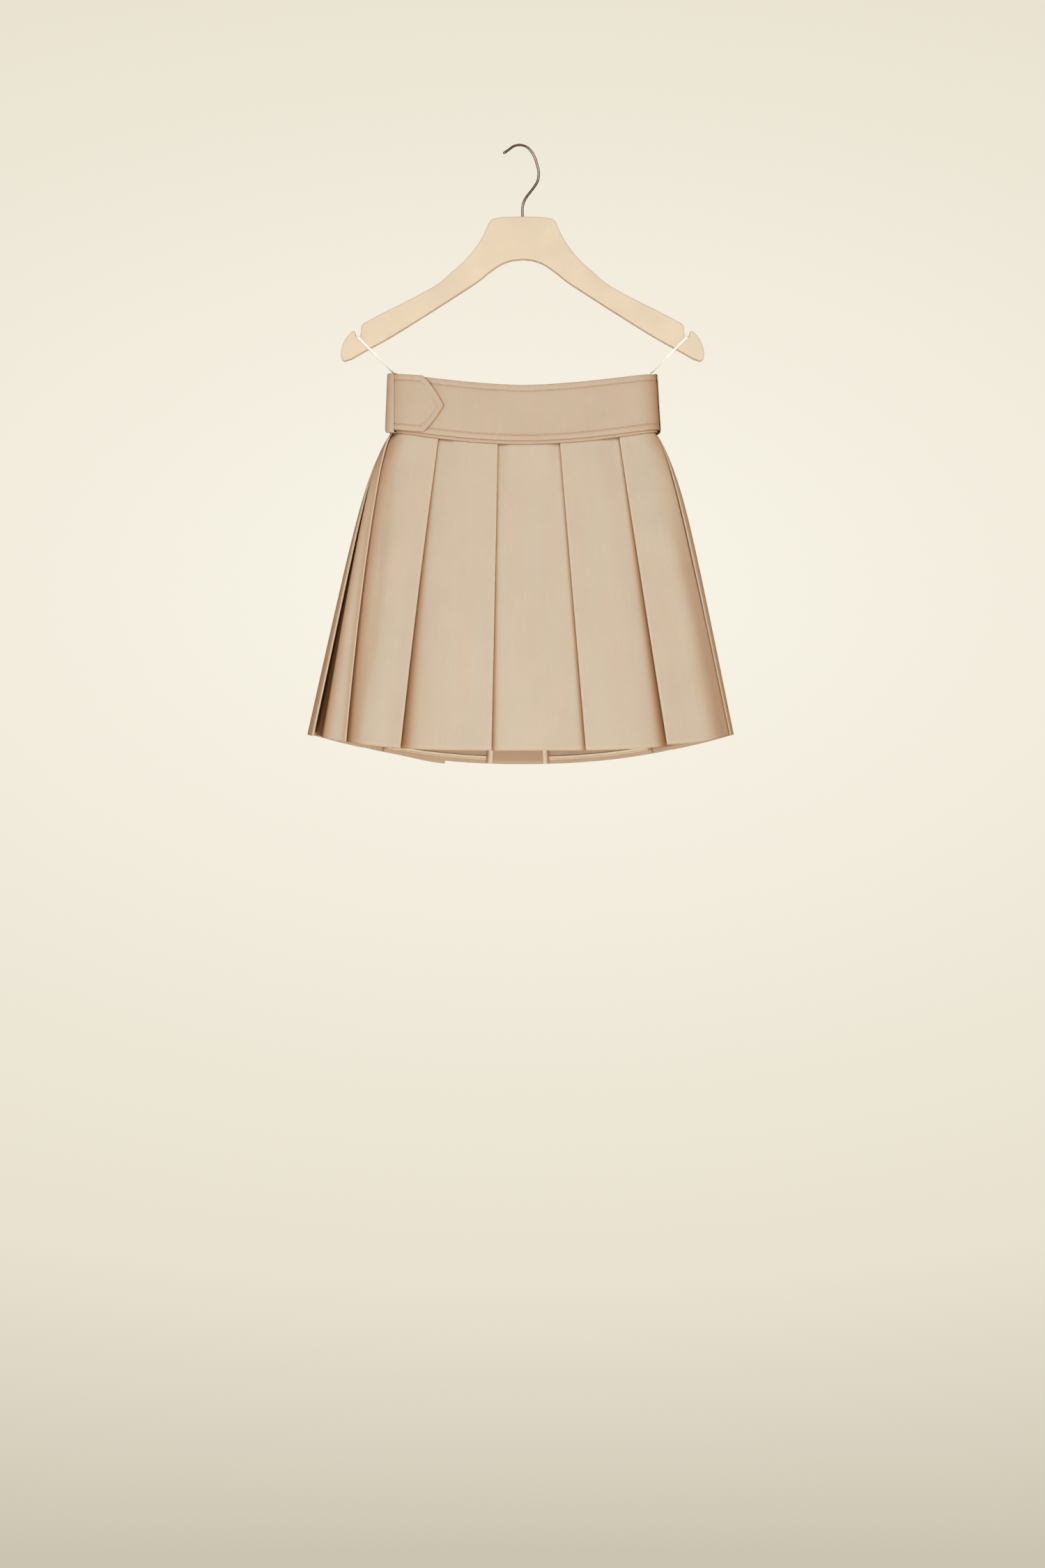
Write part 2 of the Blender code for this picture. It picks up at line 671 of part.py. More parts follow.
def hook():
    """The wire hook, turned about its shank."""
    across = Vector((math.cos(HOOK_TURN), math.sin(HOOK_TURN), 0))
    line = curve_through([across * q * MM + Vector((0, 0, z * MM)) for q, z in HOOK_LINE], 2)
    curve = bpy.data.curves.new("hook", "CURVE")
    curve.dimensions = "3D"
    curve.bevel_depth = HOOK_WIRE / 2
    curve.bevel_resolution = 2
    curve.use_fill_caps = True
    spline = curve.splines.new("POLY")
    spline.points.add(len(line) - 1)
    for point, place in zip(spline.points, line):
        point.co = (*place, 1)
    return new_object("hanger_hook", curve, WIRE_COLOUR, 0.25, 1.0)


def meshed(piece):
    """The piece as a mesh object with its caps welded. The curve object is removed."""
    found = piece.evaluated_get(bpy.context.evaluated_depsgraph_get())
    mesh = bpy.data.meshes.new_from_object(found)
    work = bmesh.new()
    work.from_mesh(mesh)
    bmesh.ops.remove_doubles(work, verts=work.verts, dist=0.00001)
    work.to_mesh(mesh)
    work.free()
    made = bpy.data.objects.new(piece.name, mesh)
    made.matrix_world = piece.matrix_world
    MODEL.objects.link(made)
    name = piece.name
    bpy.data.objects.remove(piece)
    made.name = name
    return made


def hanger():
    """The hanger's flat body with its notches, rounded all round, and a socket for the hook."""
    half = curve_through([(x, z, 0) for x, z in HANGER_UPPER], 2)
    half += curve_through([(x, z, 0) for x, z in HANGER_NOTCH], 2)
    half += curve_through([(x, z, 0) for x, z in HANGER_TIP], 2)
    half += curve_through([(x, z, 0) for x, z in HANGER_LOWER], 2)
    outline = [Vector((0, NECK_TOP, 0))] + half + [Vector((0, NECK_ARCH, 0))]
    outline += [Vector((-p.x, p.y, 0)) for p in reversed(half)]
    curve = bpy.data.curves.new("hanger", "CURVE")
    curve.dimensions = "2D"
    curve.fill_mode = "BOTH"
    curve.extrude = HANGER_THICKNESS / 2 - HANGER_ROUNDING
    curve.bevel_depth = HANGER_ROUNDING
    curve.bevel_resolution = 1
    curve.offset = -HANGER_ROUNDING
    spline = curve.splines.new("POLY")
    spline.use_cyclic_u = True
    spline.points.add(len(outline) - 1)
    for point, place in zip(spline.points, outline):
        point.co = (place.x * MM, place.y * MM, 0, 1)
    flat = new_object("hanger", curve, HANGER_COLOUR, 0.6)
    flat.rotation_euler.x = math.pi / 2
    bpy.context.view_layer.update()
    body = meshed(flat)
    bpy.ops.mesh.primitive_cylinder_add(
        vertices=16, radius=HOOK_WIRE / 2 + HOOK_SOCKET, depth=60 * MM, location=(0, 0, -72 * MM)
    )
    socket = bpy.context.object
    socket.name = "hook_socket"
    socket.hide_render = True
    socket.display_type = "WIRE"
    for other in socket.users_collection:
        other.objects.unlink(socket)
    CUTTERS.objects.link(socket)
    cut = body.modifiers.new("Socket", "BOOLEAN")
    cut.object = socket
    cut.operation = "DIFFERENCE"
    body.data.shade_smooth()
    body.data.set_sharp_from_angle(angle=math.radians(40))


def ribbon_loops():
    """The two ribbons: each from inside the band up over the hanger's notch and back down."""
    for name, side in (("hanger_ribbon_left", -1), ("hanger_ribbon_right", 1)):
        front = [(stop, -1) for stop in RIBBON_ROUTE]
        back = [(stop, 1) for stop in reversed(RIBBON_ROUTE)]
        rows = [[], []]
        for stop, facing in front + back:
            lean, twist = math.radians(stop.lean), math.radians(stop.twist)
            place = Vector((side * stop.x, facing * stop.y, stop.z)) * MM
            across = Vector((side * math.cos(lean), 0, -math.sin(lean))) * math.cos(twist)
            across += Vector((0, -facing * math.sin(twist), 0))
            for row, end in zip(rows, (-0.5, 0.5)):
                row.append(place + across * end * RIBBON_WIDTH)
        cloth(name, rows if side < 0 else rows[::-1], RIBBON_WALL, RIBBON_COLOUR)


for old in list(bpy.data.objects):
    bpy.data.objects.remove(old)
MODEL = bpy.data.collections.new("mini_skirt_on_hanger")
CUTTERS = bpy.data.collections.new("cutters")
bpy.context.scene.collection.children.link(MODEL)
bpy.context.scene.collection.children.link(CUTTERS)

skirt_piece("skirt_back_left", 0, FIRST_FRONT_PLEAT)
skirt_piece("skirt_front", FIRST_FRONT_PLEAT + 1, LAST_FRONT_PLEAT)
skirt_piece("skirt_back_right", LAST_FRONT_PLEAT + 1, len(PLEATS))
back_underlay()
seam_bindings()
hem_tapes()
waistband()
belt()
belt_loops()
hook()
hanger()
ribbon_loops()
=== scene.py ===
"""Looks of the pleated mini skirt on its hanger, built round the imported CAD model.

Metres, +Z up, front towards -Y, +X to the right seen from the front, origin at the hook's top.
The cloth follows the same level sections and pleats as the solids, sampled finely and creased.
"""
import math
from collections import namedtuple

import bpy
import numpy as np
from mathutils import Matrix, Vector


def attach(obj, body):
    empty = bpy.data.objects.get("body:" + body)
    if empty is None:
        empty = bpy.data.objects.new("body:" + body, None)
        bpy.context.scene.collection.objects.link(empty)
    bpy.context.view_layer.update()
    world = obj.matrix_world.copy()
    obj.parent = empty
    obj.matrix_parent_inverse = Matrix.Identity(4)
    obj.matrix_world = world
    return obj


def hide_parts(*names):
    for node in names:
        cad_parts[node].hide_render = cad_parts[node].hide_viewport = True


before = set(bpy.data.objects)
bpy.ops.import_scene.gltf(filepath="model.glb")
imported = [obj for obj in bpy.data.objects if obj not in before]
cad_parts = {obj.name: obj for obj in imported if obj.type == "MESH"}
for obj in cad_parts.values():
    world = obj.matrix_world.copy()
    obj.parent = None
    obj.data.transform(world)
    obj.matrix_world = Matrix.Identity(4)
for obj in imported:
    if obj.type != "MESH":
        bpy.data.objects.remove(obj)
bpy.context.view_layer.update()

MM = 0.001

# The CAD's own values. CROWN, SIDE_RISE, bow and LOOP_OUT_SINGLE belong to the looks alone, and some
# pleats' places, lifts and swells are moved by a few mm from the solids to come nearer the photo.
BAND_WALL = 1.8 * MM
BELT_WALL = 2.0 * MM
LOOP_WALL = 1.0 * MM
SKIRT_WALL = 1.2 * MM
TAPE_WALL = 0.8 * MM
SEAM_GAP = 0.3 * MM
TAB_GAP = 0.5 * MM
BAND_GAP = 0.45 * MM
PITCH = 1.8 * MM
UNDER = -3.6 * MM
TURN = 0.9 * MM
BAND_OUT = SKIRT_WALL / 2 + BAND_GAP + BAND_WALL / 2
BELT_OUT = BAND_OUT + BAND_WALL / 2 + SEAM_GAP + BELT_WALL / 2
TAB_OUT = BELT_OUT + BELT_WALL + TAB_GAP
LOOP_OUT = TAB_OUT + BELT_WALL / 2 + SEAM_GAP + LOOP_WALL / 2
LOOP_OUT_SINGLE = BELT_OUT + BELT_WALL / 2 + 2 * SEAM_GAP + LOOP_WALL / 2

WAIST_HALF_WIDTH = 161.3 * MM
BAND_TOP_HALF_WIDTH = 157.3 * MM
HEM_HALF_WIDTH = 255.0 * MM
WAIST_CENTRE = 1.0 * MM
HIP_SPRING = 20.0 * MM
HIP_SPRING_SHARE = 0.12
WAIST_FRONT_DEPTH = 30.0 * MM
WAIST_BACK_DEPTH = 34.0 * MM
HEM_FRONT_DEPTH = 86.0 * MM
HEM_BACK_DEPTH = 94.0 * MM
WAIST_ROUNDING = 15.0 * MM
HEM_ROUNDING = 36.0 * MM

Edge = namedtuple("Edge", "side front_sag back_sag front_power back_power")
BELT_TOP = Edge(-279.0 * MM, 16.7 * MM, 24.0 * MM, 1.6, 1.7)
BAND_TOP = Edge(-279.8 * MM, 16.7 * MM, 24.0 * MM, 1.6, 1.7)
BELT_BOTTOM = Edge(-346.1 * MM, 17.0 * MM, 24.5 * MM, 1.8, 1.8)
BAND_BOTTOM = Edge(-349.1 * MM, 17.8 * MM, 27.0 * MM, 1.9, 1.9)
HEM = Edge(-716.8 * MM, 20.7 * MM, 35.4 * MM, 3.5, 2.2)
TUCKED_IN = 9.0 * MM
BELOW_BAND = 0.8 * MM
TUCKED_LEVEL = -0.01

# bow is how far a fold's line curves along the section halfway down, in mm.
Pleat = namedtuple("Pleat", "name measured_from waist hem upper depth_waist depth_hem lift drop seamed bow")
PLEATS = (
    Pleat("back_left_inner", "back_left", 47.0, 93.0, +1, 26.0, 76.0, 2.0, 3.6, False, 0.6),
    Pleat("back_left_outer", "back_left", 102.0, 196.0, +1, 26.0, 50.0, 3.0, 0.0, False, -0.8),
    Pleat("side_left", "front", -184.0, -259.0, -1, 22.0, 46.0, 10.0, 0.0, True, 0.0),
    Pleat("front_left_outer", "front", -170.0, -215.0, -1, 4.0, 24.0, 3.6, 0.0, False, -4.5),
    Pleat("front_left_middle", "front", -104.3, -146.0, -1, 26.0, 44.0, 7.5, 0.0, False, -1.6),
    Pleat("front_left_inner", "front", -31.8, -37.9, -1, 26.0, 44.0, 1.8, 0.0, False, 0.0),
    Pleat("front_right_inner", "front", 45.4, 76.5, +1, 26.0, 44.0, 1.8, 0.0, False, 0.0),
    Pleat("front_right_middle", "front", 117.6, 173.5, +1, 24.0, 44.0, 6.5, -2.0, False, 0.0),
    Pleat("side_right", "front", 174.0, 274.0, +1, 22.0, 46.0, 0.8, 0.0, True, 0.0),
    Pleat("back_right_outer", "back_right", -102.0, -196.0, -1, 26.0, 50.0, 3.0, 0.0, False, 0.9),
    Pleat("back_right_inner", "back_right", -47.0, -93.0, -1, 26.0, 76.0, 2.0, 0.0, False, -0.5),
)
LAST_FRONT_PLEAT = 8
FIRST_FRONT_PLEAT = 2
LEFT_SLIVER = 3
SWELL_AT_HEM = (1.5, 2.5, 5.0, 6.0, 3.5, 1.5, 1.0, 1.5, 3.0, 5.0, 2.5, 1.5)
RISE_SHARE = 0.45
CROWN = 3.3 * MM
RISE_FROM = 2.2 * MM
SIDE_RISE = (1.0 * MM, 5.0 * MM)
LIFT_REACH_SHARE = 0.55
BACK_SHIFT_WAIST = 2.0 * MM
BACK_SHIFT_HEM = 6.0 * MM
BACK_EDGE_GAP = 3.6 * MM
UNDERLAY_HALF_WAIST = 21.0 * MM
UNDERLAY_HALF_HEM = 37.5 * MM
BINDING_WIDTH = 5.5 * MM
HEM_TAPE_ABOVE_HEM = 5.0 * MM

BELT_START = -148.0 * MM
TAB_CORNER = -121.0 * MM
TAB_TIP = -95.5 * MM
TAB_RISE_FROM = -171.0 * MM
TAB_RISE_TO = -152.0 * MM
TAB_TIP_HALF_HEIGHT = 1.6 * MM
TAB_RAISE = 2.4 * MM
LOOP_PLACES = {"belt_loop_left": -160.0 * MM, "belt_loop_right": 178.0 * MM}
LOOP_WIDTH = 12.0 * MM
LOOP_OVERHANG = 3.4 * MM

HANGER_THICKNESS = 12.0 * MM
NECK_TOP = -85.9
NECK_ARCH = -137.8
HANGER_UPPER = (
    (22.0, -86.6), (35.0, -88.6), (40.5, -93.0), (44.5, -102.0), (52.7, -117.5), (68.0, -137.1),
    (86.2, -153.8), (104.6, -169.1), (137.7, -187.4), (168.3, -202.6), (193.5, -216.2),
)
HANGER_NOTCH = ((196.6, -219.6), (197.2, -228.0), (198.3, -232.6), (202.3, -232.6), (203.3, -228.6))
HANGER_TIP = (
    (204.4, -226.0), (206.8, -225.6), (212.0, -230.5), (217.0, -237.6), (220.2, -246.0),
    (221.3, -254.0), (220.4, -259.4), (216.5, -262.0),
)
HANGER_LOWER = (
    (207.7, -259.0), (190.0, -248.8), (160.0, -232.2), (116.5, -205.2), (86.2, -185.8), (56.0, -166.2),
    (40.8, -154.2), (25.5, -143.8), (12.0, -138.9),
)
HOOK_WIRE = 3.2 * MM
HOOK_TURN = math.radians(36)
HOOK_LINE = (
    (-27.5, -11.5), (-21.3, -7.0), (-14.3, -1.9), (-9.0, 0.5), (-3.7, 1.6), (1.5, 1.6), (7.5, 0.2),
    (13.8, -4.2), (19.0, -11.2), (22.2, -19.2), (24.2, -25.8), (24.4, -32.2), (22.7, -39.2),
    (17.9, -46.4), (11.9, -53.6), (5.8, -60.9), (1.9, -67.4), (0.0, -75.0), (0.0, -86.0), (0.0, -101.0),
)
RIBBON_WIDTH = 3.0 * MM
Station = namedtuple("Station", "x z y lean twist")
RIBBON_ROUTE = (
    Station(155.8, -290.0, 2.0, 0, 90),
    Station(155.4, -281.0, 2.0, 0, 90),
    Station(156.5, -276.6, 2.0, 45, 76),
    Station(160.6, -273.1, 2.1, 45, 60),
    Station(171.5, -262.1, 3.4, 45, 38),
    Station(180.0, -253.5, 5.2, 45, 16),
    Station(184.7, -248.8, 6.9, 45, 0),
    Station(198.3, -235.1, 6.8, 45, 0),
    Station(200.0, -232.9, 6.6, 25, 0),
    Station(200.3, -231.7, 5.0, 5, 0),
    Station(200.3, -231.6, 2.5, 0, 0),
)

# How finely the looks are sampled
CLOTH = 0.95 * MM
LEVEL_ROWS = 84
PANEL_COLUMNS = 24
UNDER_COLUMNS = 6
FOLD_STEPS = 6
UNDERLAY_COLUMNS = 25
# How far a fold's lightening spreads: partly wear, partly a painted highlight.
FOLD_WEAR_AND_HIGHLIGHT = 1.2 * MM
LOOP_ROW = 1.5 * MM

# Painted shades placed on and beside the narrow left pleat: how dark, and over what distance.
SLIVER_SHADE = (0.35, 5 * MM)
BESIDE_SLIVER_SHADE = (0.40, 13 * MM)

# Where the cloth's pattern lies: metres from waist to hem, and from one panel's to the next one's.
SKIRT_LENGTH = 0.39
PANEL_UV_STEP = 0.217

# How the creases start at the waist and over how much of the skirt's height they come and go.
CREASE_SPREAD_AT_WAIST = 0.55
CREASE_STRENGTH_AT_WAIST = 0.45
CREASE_FADE_IN = 0.3
CREASE_FADE_OUT = 0.25

# Soft creases. Each runs from a place at the waist to one at the hem, in mm along the section from
# the front or back centre, between two levels. height is its rise off the cloth at the hem, or
# its depth where it is below zero, and width how far it spreads to each side there.
Crease = namedtuple("Crease", "side waist hem start end width height bow")
CREASES = (
    Crease("front", -160.0, -196.0, 0.02, 0.62, 12.0, -1.7, 2.0),
    Crease("front", -140.0, -178.0, 0.08, 1.10, 15.0, 1.5, -3.0),
    Crease("front", -122.0, -163.0, 0.30, 1.10, 9.0, -0.8, 2.0),
    Crease("front", -84.0, -112.0, 0.10, 1.10, 22.0, -0.8, 4.0),
    Crease("front", -52.0, -70.0, 0.00, 0.55, 16.0, 0.7, -2.0),
    Crease("front", -8.0, -6.0, 0.15, 1.10, 26.0, -0.9, 5.0),
    Crease("front", 22.0, 44.0, 0.35, 1.10, 18.0, 0.6, -3.0),
    Crease("front", 68.0, 104.0, 0.05, 0.80, 17.0, 0.8, 4.0),
    Crease("front", 96.0, 142.0, 0.25, 1.10, 20.0, -0.9, -3.0),
    Crease("front", 132.0, 190.0, 0.05, 1.10, 15.0, 0.7, 5.0),
    Crease("front", 146.0, 226.0, 0.08, 1.10, 17.0, 2.6, 4.0),
    Crease("front", 166.0, 256.0, 0.15, 1.10, 13.0, -1.8, 2.0),
    Crease("back", -150.0, -262.0, 0.10, 1.10, 18.0, -1.5, 4.0),
    Crease("back", -128.0, -232.0, 0.05, 0.85, 14.0, 1.1, -3.0),
    Crease("back", -78.0, -152.0, 0.12, 1.10, 24.0, -1.2, 5.0),
    Crease("back", -60.0, -118.0, 0.35, 1.10, 13.0, 0.8, -2.0),
    Crease("back", -26.0, -52.0, 0.05, 0.70, 14.0, -0.9, 3.0),
    Crease("back", 30.0, 58.0, 0.20, 1.10, 20.0, 1.1, -4.0),
    Crease("back", 72.0, 140.0, 0.08, 1.10, 22.0, -1.3, 3.0),
    Crease("back", 90.0, 172.0, 0.40, 1.10, 12.0, 0.9, 2.0),
    Crease("back", 126.0, 226.0, 0.06, 0.90, 17.0, 1.3, -4.0),
    Crease("back", 152.0, 258.0, 0.18, 1.10, 15.0, -1.7, 3.0),
)
# Small puckers under the waist seam: place from the front centre, spread and height, in mm.
PUCKERS = (
    (-166.0, 4.0, 0.5), (-154.0, 6.0, -0.5), (-139.0, 5.0, 0.4), (-120.0, 7.0, -0.4), (-96.0, 5.0, 0.35),
    (-78.0, 8.0, -0.35), (-57.0, 5.0, 0.3), (-40.0, 4.0, -0.3), (-18.0, 7.0, 0.3), (6.0, 6.0, -0.3),
    (27.0, 5.0, 0.3), (52.0, 5.0, -0.35), (71.0, 8.0, 0.3), (92.0, 5.0, -0.4), (110.0, 5.0, 0.35),
    (128.0, 7.0, -0.45), (144.0, 4.0, 0.5), (157.0, 6.0, -0.5), (171.0, 5.0, 0.5), (205.0, 7.0, -0.4),
    (228.0, 5.0, 0.4), (251.0, 8.0, -0.4), (279.0, 6.0, 0.4), (304.0, 5.0, -0.35), (-196.0, 6.0, 0.4),
    (-221.0, 5.0, -0.4), (-246.0, 8.0, 0.4), (-270.0, 5.0, -0.4), (-301.0, 7.0, 0.4), (-330.0, 5.0, -0.3),
)


def mix(a, b, share):
    return a + (b - a) * share


def smooth(share):
    share = np.clip(share, 0.0, 1.0)
    return share * share * (3 - 2 * share)


def hill(distance, spread):
    """1 at no distance, falling away smoothly over the spread."""
    return np.exp(-(distance / spread) ** 2)


def unit(vectors):
    return vectors / np.linalg.norm(vectors, axis=-1, keepdims=True)


class Section:
    """One level section: places and outward directions along its length from the centre back."""

    def __init__(self, half_width, front_depth, back_depth, rounding, centre, samples=1440):
        turn = np.linspace(0, 2 * math.pi, samples + 1)
        depth = np.where(np.cos(turn) > 0, back_depth, front_depth) - rounding
        inner = np.stack([-(half_width - rounding) * np.sin(turn), depth * np.cos(turn)], axis=1)
        outward = np.stack([-depth * np.sin(turn), (half_width - rounding) * np.cos(turn)], axis=1)
        self.outward = unit(outward)
        self.points = inner + rounding * self.outward
        self.along = arc_line(self.points)
        self.length = self.along[-1]
        self.half_width = half_width
        self.centre = centre
        self.front = float(np.interp(samples / 2, np.arange(samples + 1), self.along))

    def at(self, places, out):
        """x and y of places moved outwards, their share of the half width, and if they are at the back."""
        places = np.asarray(places, float) % self.length
        x, y = (np.interp(places, self.along, self.points[:, k]) for k in (0, 1))
        nx, ny = (np.interp(places, self.along, self.outward[:, k]) for k in (0, 1))
        return self.centre + x + nx * out, y + ny * out, x / self.half_width, y > 0

    def shorter(self, distance):
        """A distance along the section, gone the shorter way round and below zero on one side."""
        return (distance + self.length / 2) % self.length - self.length / 2


def arc_line(points):
    """The distance along a line at each of its points."""
    steps = np.linalg.norm(np.diff(points, axis=0), axis=1)
    return np.concatenate([[0], np.cumsum(steps)])


def edge_height(edge, across, at_back):
    sag = np.where(at_back, edge.back_sag, edge.front_sag)
    power = np.where(at_back, edge.back_power, edge.front_power)
    return edge.side - sag * (1 - np.minimum(1.0, np.abs(across)) ** power)


def band_section(height_share):
    return Section(
        mix(WAIST_HALF_WIDTH, BAND_TOP_HALF_WIDTH, height_share),
        WAIST_FRONT_DEPTH, WAIST_BACK_DEPTH, WAIST_ROUNDING, WAIST_CENTRE,
    )


def skirt_section(level):
    if level < 0:
        return band_section((TUCKED_IN - BELOW_BAND) / (BELT_TOP.side - BELT_BOTTOM.side))
    spring = HIP_SPRING * (1 - math.exp(-level / HIP_SPRING_SHARE))
    straight = mix(WAIST_HALF_WIDTH, HEM_HALF_WIDTH - HIP_SPRING, level)
    return Section(
        straight + spring,
        mix(WAIST_FRONT_DEPTH, HEM_FRONT_DEPTH, level),
        mix(WAIST_BACK_DEPTH, HEM_BACK_DEPTH, level),
        mix(WAIST_ROUNDING, HEM_ROUNDING, level),
        mix(WAIST_CENTRE, 0.0, level),
    )


def relief(section, level, places):
    """How far the soft creases and the puckers move the cloth outwards at places of a section."""
    total = np.zeros(len(places))
    if level <= 0:
        return total
    for crease in CREASES:
        start = section.front if crease.side == "front" else 0.0
        value = mix(crease.waist, crease.hem, level) + crease.bow * math.sin(math.pi * level)
        spread = crease.width * MM * mix(CREASE_SPREAD_AT_WAIST, 1.0, level)
        strength = smooth((level - crease.start) / CREASE_FADE_IN)
        strength *= 1 - smooth((level - crease.end) / CREASE_FADE_OUT)
        strength *= mix(CREASE_STRENGTH_AT_WAIST, 1.0, level)
        total += crease.height * MM * strength * hill(section.shorter(places - start - value * MM), spread)
    fade = smooth(level / 0.02) * math.exp(-((level - 0.03) / 0.05) ** 2 if level > 0.03 else 0.0)
    for place, spread, height in PUCKERS:
        middle = place * MM * section.length / PUCKER_LENGTH
        total += height * MM * fade * hill(section.shorter(places - section.front - middle), spread * MM)
    return total


PUCKER_LENGTH = skirt_section(0.0).length


def skirt_points(section, level, places, out, drop=0.0):
    places = np.asarray(places, float)
    x, y, across, at_back = section.at(places, out + relief(section, level, places))
    seam, hem = (edge_height(edge, across, at_back) for edge in (BAND_BOTTOM, HEM))
    seam = seam - BELOW_BAND
    z = mix(seam, hem, level) if level >= 0 else seam + TUCKED_IN
    return np.stack([x, y, z - drop * max(0.0, level) ** 2], axis=1)


def back_shift(level):
    return mix(BACK_SHIFT_WAIST, BACK_SHIFT_HEM, level)


def pleat_place(pleat, section, level):
    value = (mix(pleat.waist, pleat.hem, level) + pleat.bow * math.sin(math.pi * level)) * MM
    if pleat.measured_from == "front":
        return section.front + value
    start = section.length if pleat.measured_from == "back_right" else 0.0
    return start + back_shift(level) + value


def depth_of(pleat, level):
    return mix(pleat.depth_waist, pleat.depth_hem, level) * MM


def lift_of(pleat, level):
    return pleat.lift * MM * max(0.0, level) ** 1.3


def underlay_half(level):
    return mix(UNDERLAY_HALF_WAIST, UNDERLAY_HALF_HEM, level)


class Panel:
    """The cloth that shows between two pleats, at one level."""

    def __init__(self, index, section, level):
        self.index = index
        self.before = PLEATS[index - 1] if index > 0 else None
        self.after = PLEATS[index] if index < len(PLEATS) else None
        centre = back_shift(level)
        self.start = pleat_place(self.before, section, level) if self.before else centre
        self.end = pleat_place(self.after, section, level) if self.after else section.length + centre
        self.start += 0.0 if self.before else BACK_EDGE_GAP / 2
        self.end -= 0.0 if self.after else BACK_EDGE_GAP / 2
        self.width = self.end - self.start
        self.starts_under = bool(self.before) and self.before.upper < 0
        self.ends_under = bool(self.after) and self.after.upper > 0
        self.swell = SWELL_AT_HEM[index] * MM * level
        self.start_lift = 0.0 if self.starts_under or not self.before else lift_of(self.before, level)
        self.end_lift = 0.0 if self.ends_under or not self.after else lift_of(self.after, level)
        self.crown = CROWN * math.exp(-(max(0.0, level) / 0.10) ** 2)
        widest = 0.0
        if self.before and not self.starts_under:
            widest = depth_of(self.before, level)
        if self.after and not self.ends_under:
            widest = max(widest, depth_of(self.after, level))
        if not (self.before and self.after):
            widest = max(widest, underlay_half(level))
        self.rise = min(RISE_SHARE * self.width, self.width - widest - 3.2 * MM)
        self.end_from, self.end_rise = SIDE_RISE if index == LAST_FRONT_PLEAT else (RISE_FROM, self.rise)

    def out(self, place):
        place = np.asarray(place, float)
        from_start, to_end = place - self.start, self.end - place
        value = self.swell * np.sin(math.pi * np.clip(from_start / self.width, 0.0, 1.0))
        if self.starts_under and self.ends_under:
            inner = np.minimum(from_start, to_end)
            return UNDER + value + self.crown * smooth((inner - 3 * MM) / (14 * MM))
        if self.starts_under:
            value = value + UNDER * (1 - smooth((from_start - RISE_FROM) / (self.rise - RISE_FROM)))
        if self.ends_under:
            value = value + UNDER * (1 - smooth((to_end - self.end_from) / (self.end_rise - self.end_from)))
        reach = LIFT_REACH_SHARE * self.width
        value = value + self.start_lift * np.clip(1 - from_start / reach, 0.0, None) ** 2
        return value + self.end_lift * np.clip(1 - to_end / reach, 0.0, None) ** 2

    def places(self):
        even = np.linspace(0, 1, PANEL_COLUMNS + 1)
        share = mix(even, (1 - np.cos(math.pi * even)) / 2, 0.45)
        return self.start + share * self.width


# A run of the path: places, how far out, the panel it belongs to, its fold value (1 at a fold) and
# its shade value (1 where the layer above keeps the light off).
Run = namedtuple("Run", "place out panel fold shade")


def plain_run(place, out, panel):
    return Run(place, out, panel, np.zeros(len(place)), np.zeros(len(place)))


def shade_near(pleat, level, distance):
    """How much of the light a pleat's upper layer keeps off the lower one, by distance from its edge."""
    reach = mix(1.6, 3.2 + 0.95 * pleat.lift, level ** 1.1) * MM
    return mix(0.75, 1.0, level) * np.exp(-(np.maximum(0.0, distance) / reach) ** 1.6)


def half_turn(place, high, low, direction, panel, visible):
    angles = [math.pi / 2 - math.pi * step / FOLD_STEPS for step in range(FOLD_STEPS + 1)]
    middle, half = (high + low) / 2, (high - low) / 2
    return Run(
        np.array([place + direction * TURN * math.cos(a) for a in angles]),
        np.array([float(middle + half * math.sin(a)) for a in angles]),
        panel, np.full(len(angles), 1.0 if visible else 0.0), np.zeros(len(angles)),
    )


def flipped(runs):
    return [Run(r.place[::-1], r.out[::-1], r.panel, r.fold[::-1], r.shade[::-1]) for r in reversed(runs)]


def folded_edge(panel, edge, inwards, reach):
    """A visible fold without its first point, then places and distances out of the cloth behind it."""
    top = float(panel.out(edge))
    turn = half_turn(edge, top, top - PITCH, -inwards, panel.index, True)
    first = Run(turn.place[1:], turn.out[1:], turn.panel, turn.fold[1:], turn.shade[1:])
    share = np.arange(1, UNDER_COLUMNS + 1) / UNDER_COLUMNS
    places = edge + inwards * reach * share
    return first, places, panel.out(places) - PITCH


def towards_seam(out):
    """The return's distances out, drawn down on its second half to lie on the seam's other layer."""
    share = np.arange(1, UNDER_COLUMNS + 1) / UNDER_COLUMNS
    return mix(out, UNDER + SKIRT_WALL + SEAM_GAP, smooth((share - 0.5) / 0.5))


def upper_side(pleat, panel, level):
    """The fold's edge and return, from the panel on top to the inner edge, without the first point."""
    inwards = pleat.upper
    edge = panel.end if inwards < 0 else panel.start
    depth = depth_of(pleat, level)
    first, places, out = folded_edge(panel, edge, inwards, depth)
    if pleat.seamed:
        return [first, plain_run(places, towards_seam(out), panel.index)]
    inner = half_turn(edge + inwards * depth, float(out[-1]), UNDER, inwards, panel.index, False)
    return [first, plain_run(places[:-1], out[:-1], panel.index), inner]


def lower_side(pleat, level, edge, panel_index):
    """The underlay, from its inner edge to just short of the fold's edge."""
    first = 0 if pleat.seamed else 1
    share = 1 - np.arange(first, UNDER_COLUMNS) / UNDER_COLUMNS
    places = edge + pleat.upper * depth_of(pleat, level) * share
    shade = shade_near(pleat, level, np.abs(places - edge))
    return [Run(places, np.full(len(places), UNDER), panel_index, np.zeros(len(places)), shade)]


def back_edge(panel, level, at_start):
    """A back panel's folded edge at the centre back and its return, without the first point."""
    edge, inwards = (panel.start, 1) if at_start else (panel.end, -1)
    first, places, out = folded_edge(panel, edge, inwards, underlay_half(level))
    return [first, plain_run(places, towards_seam(out), panel.index)]


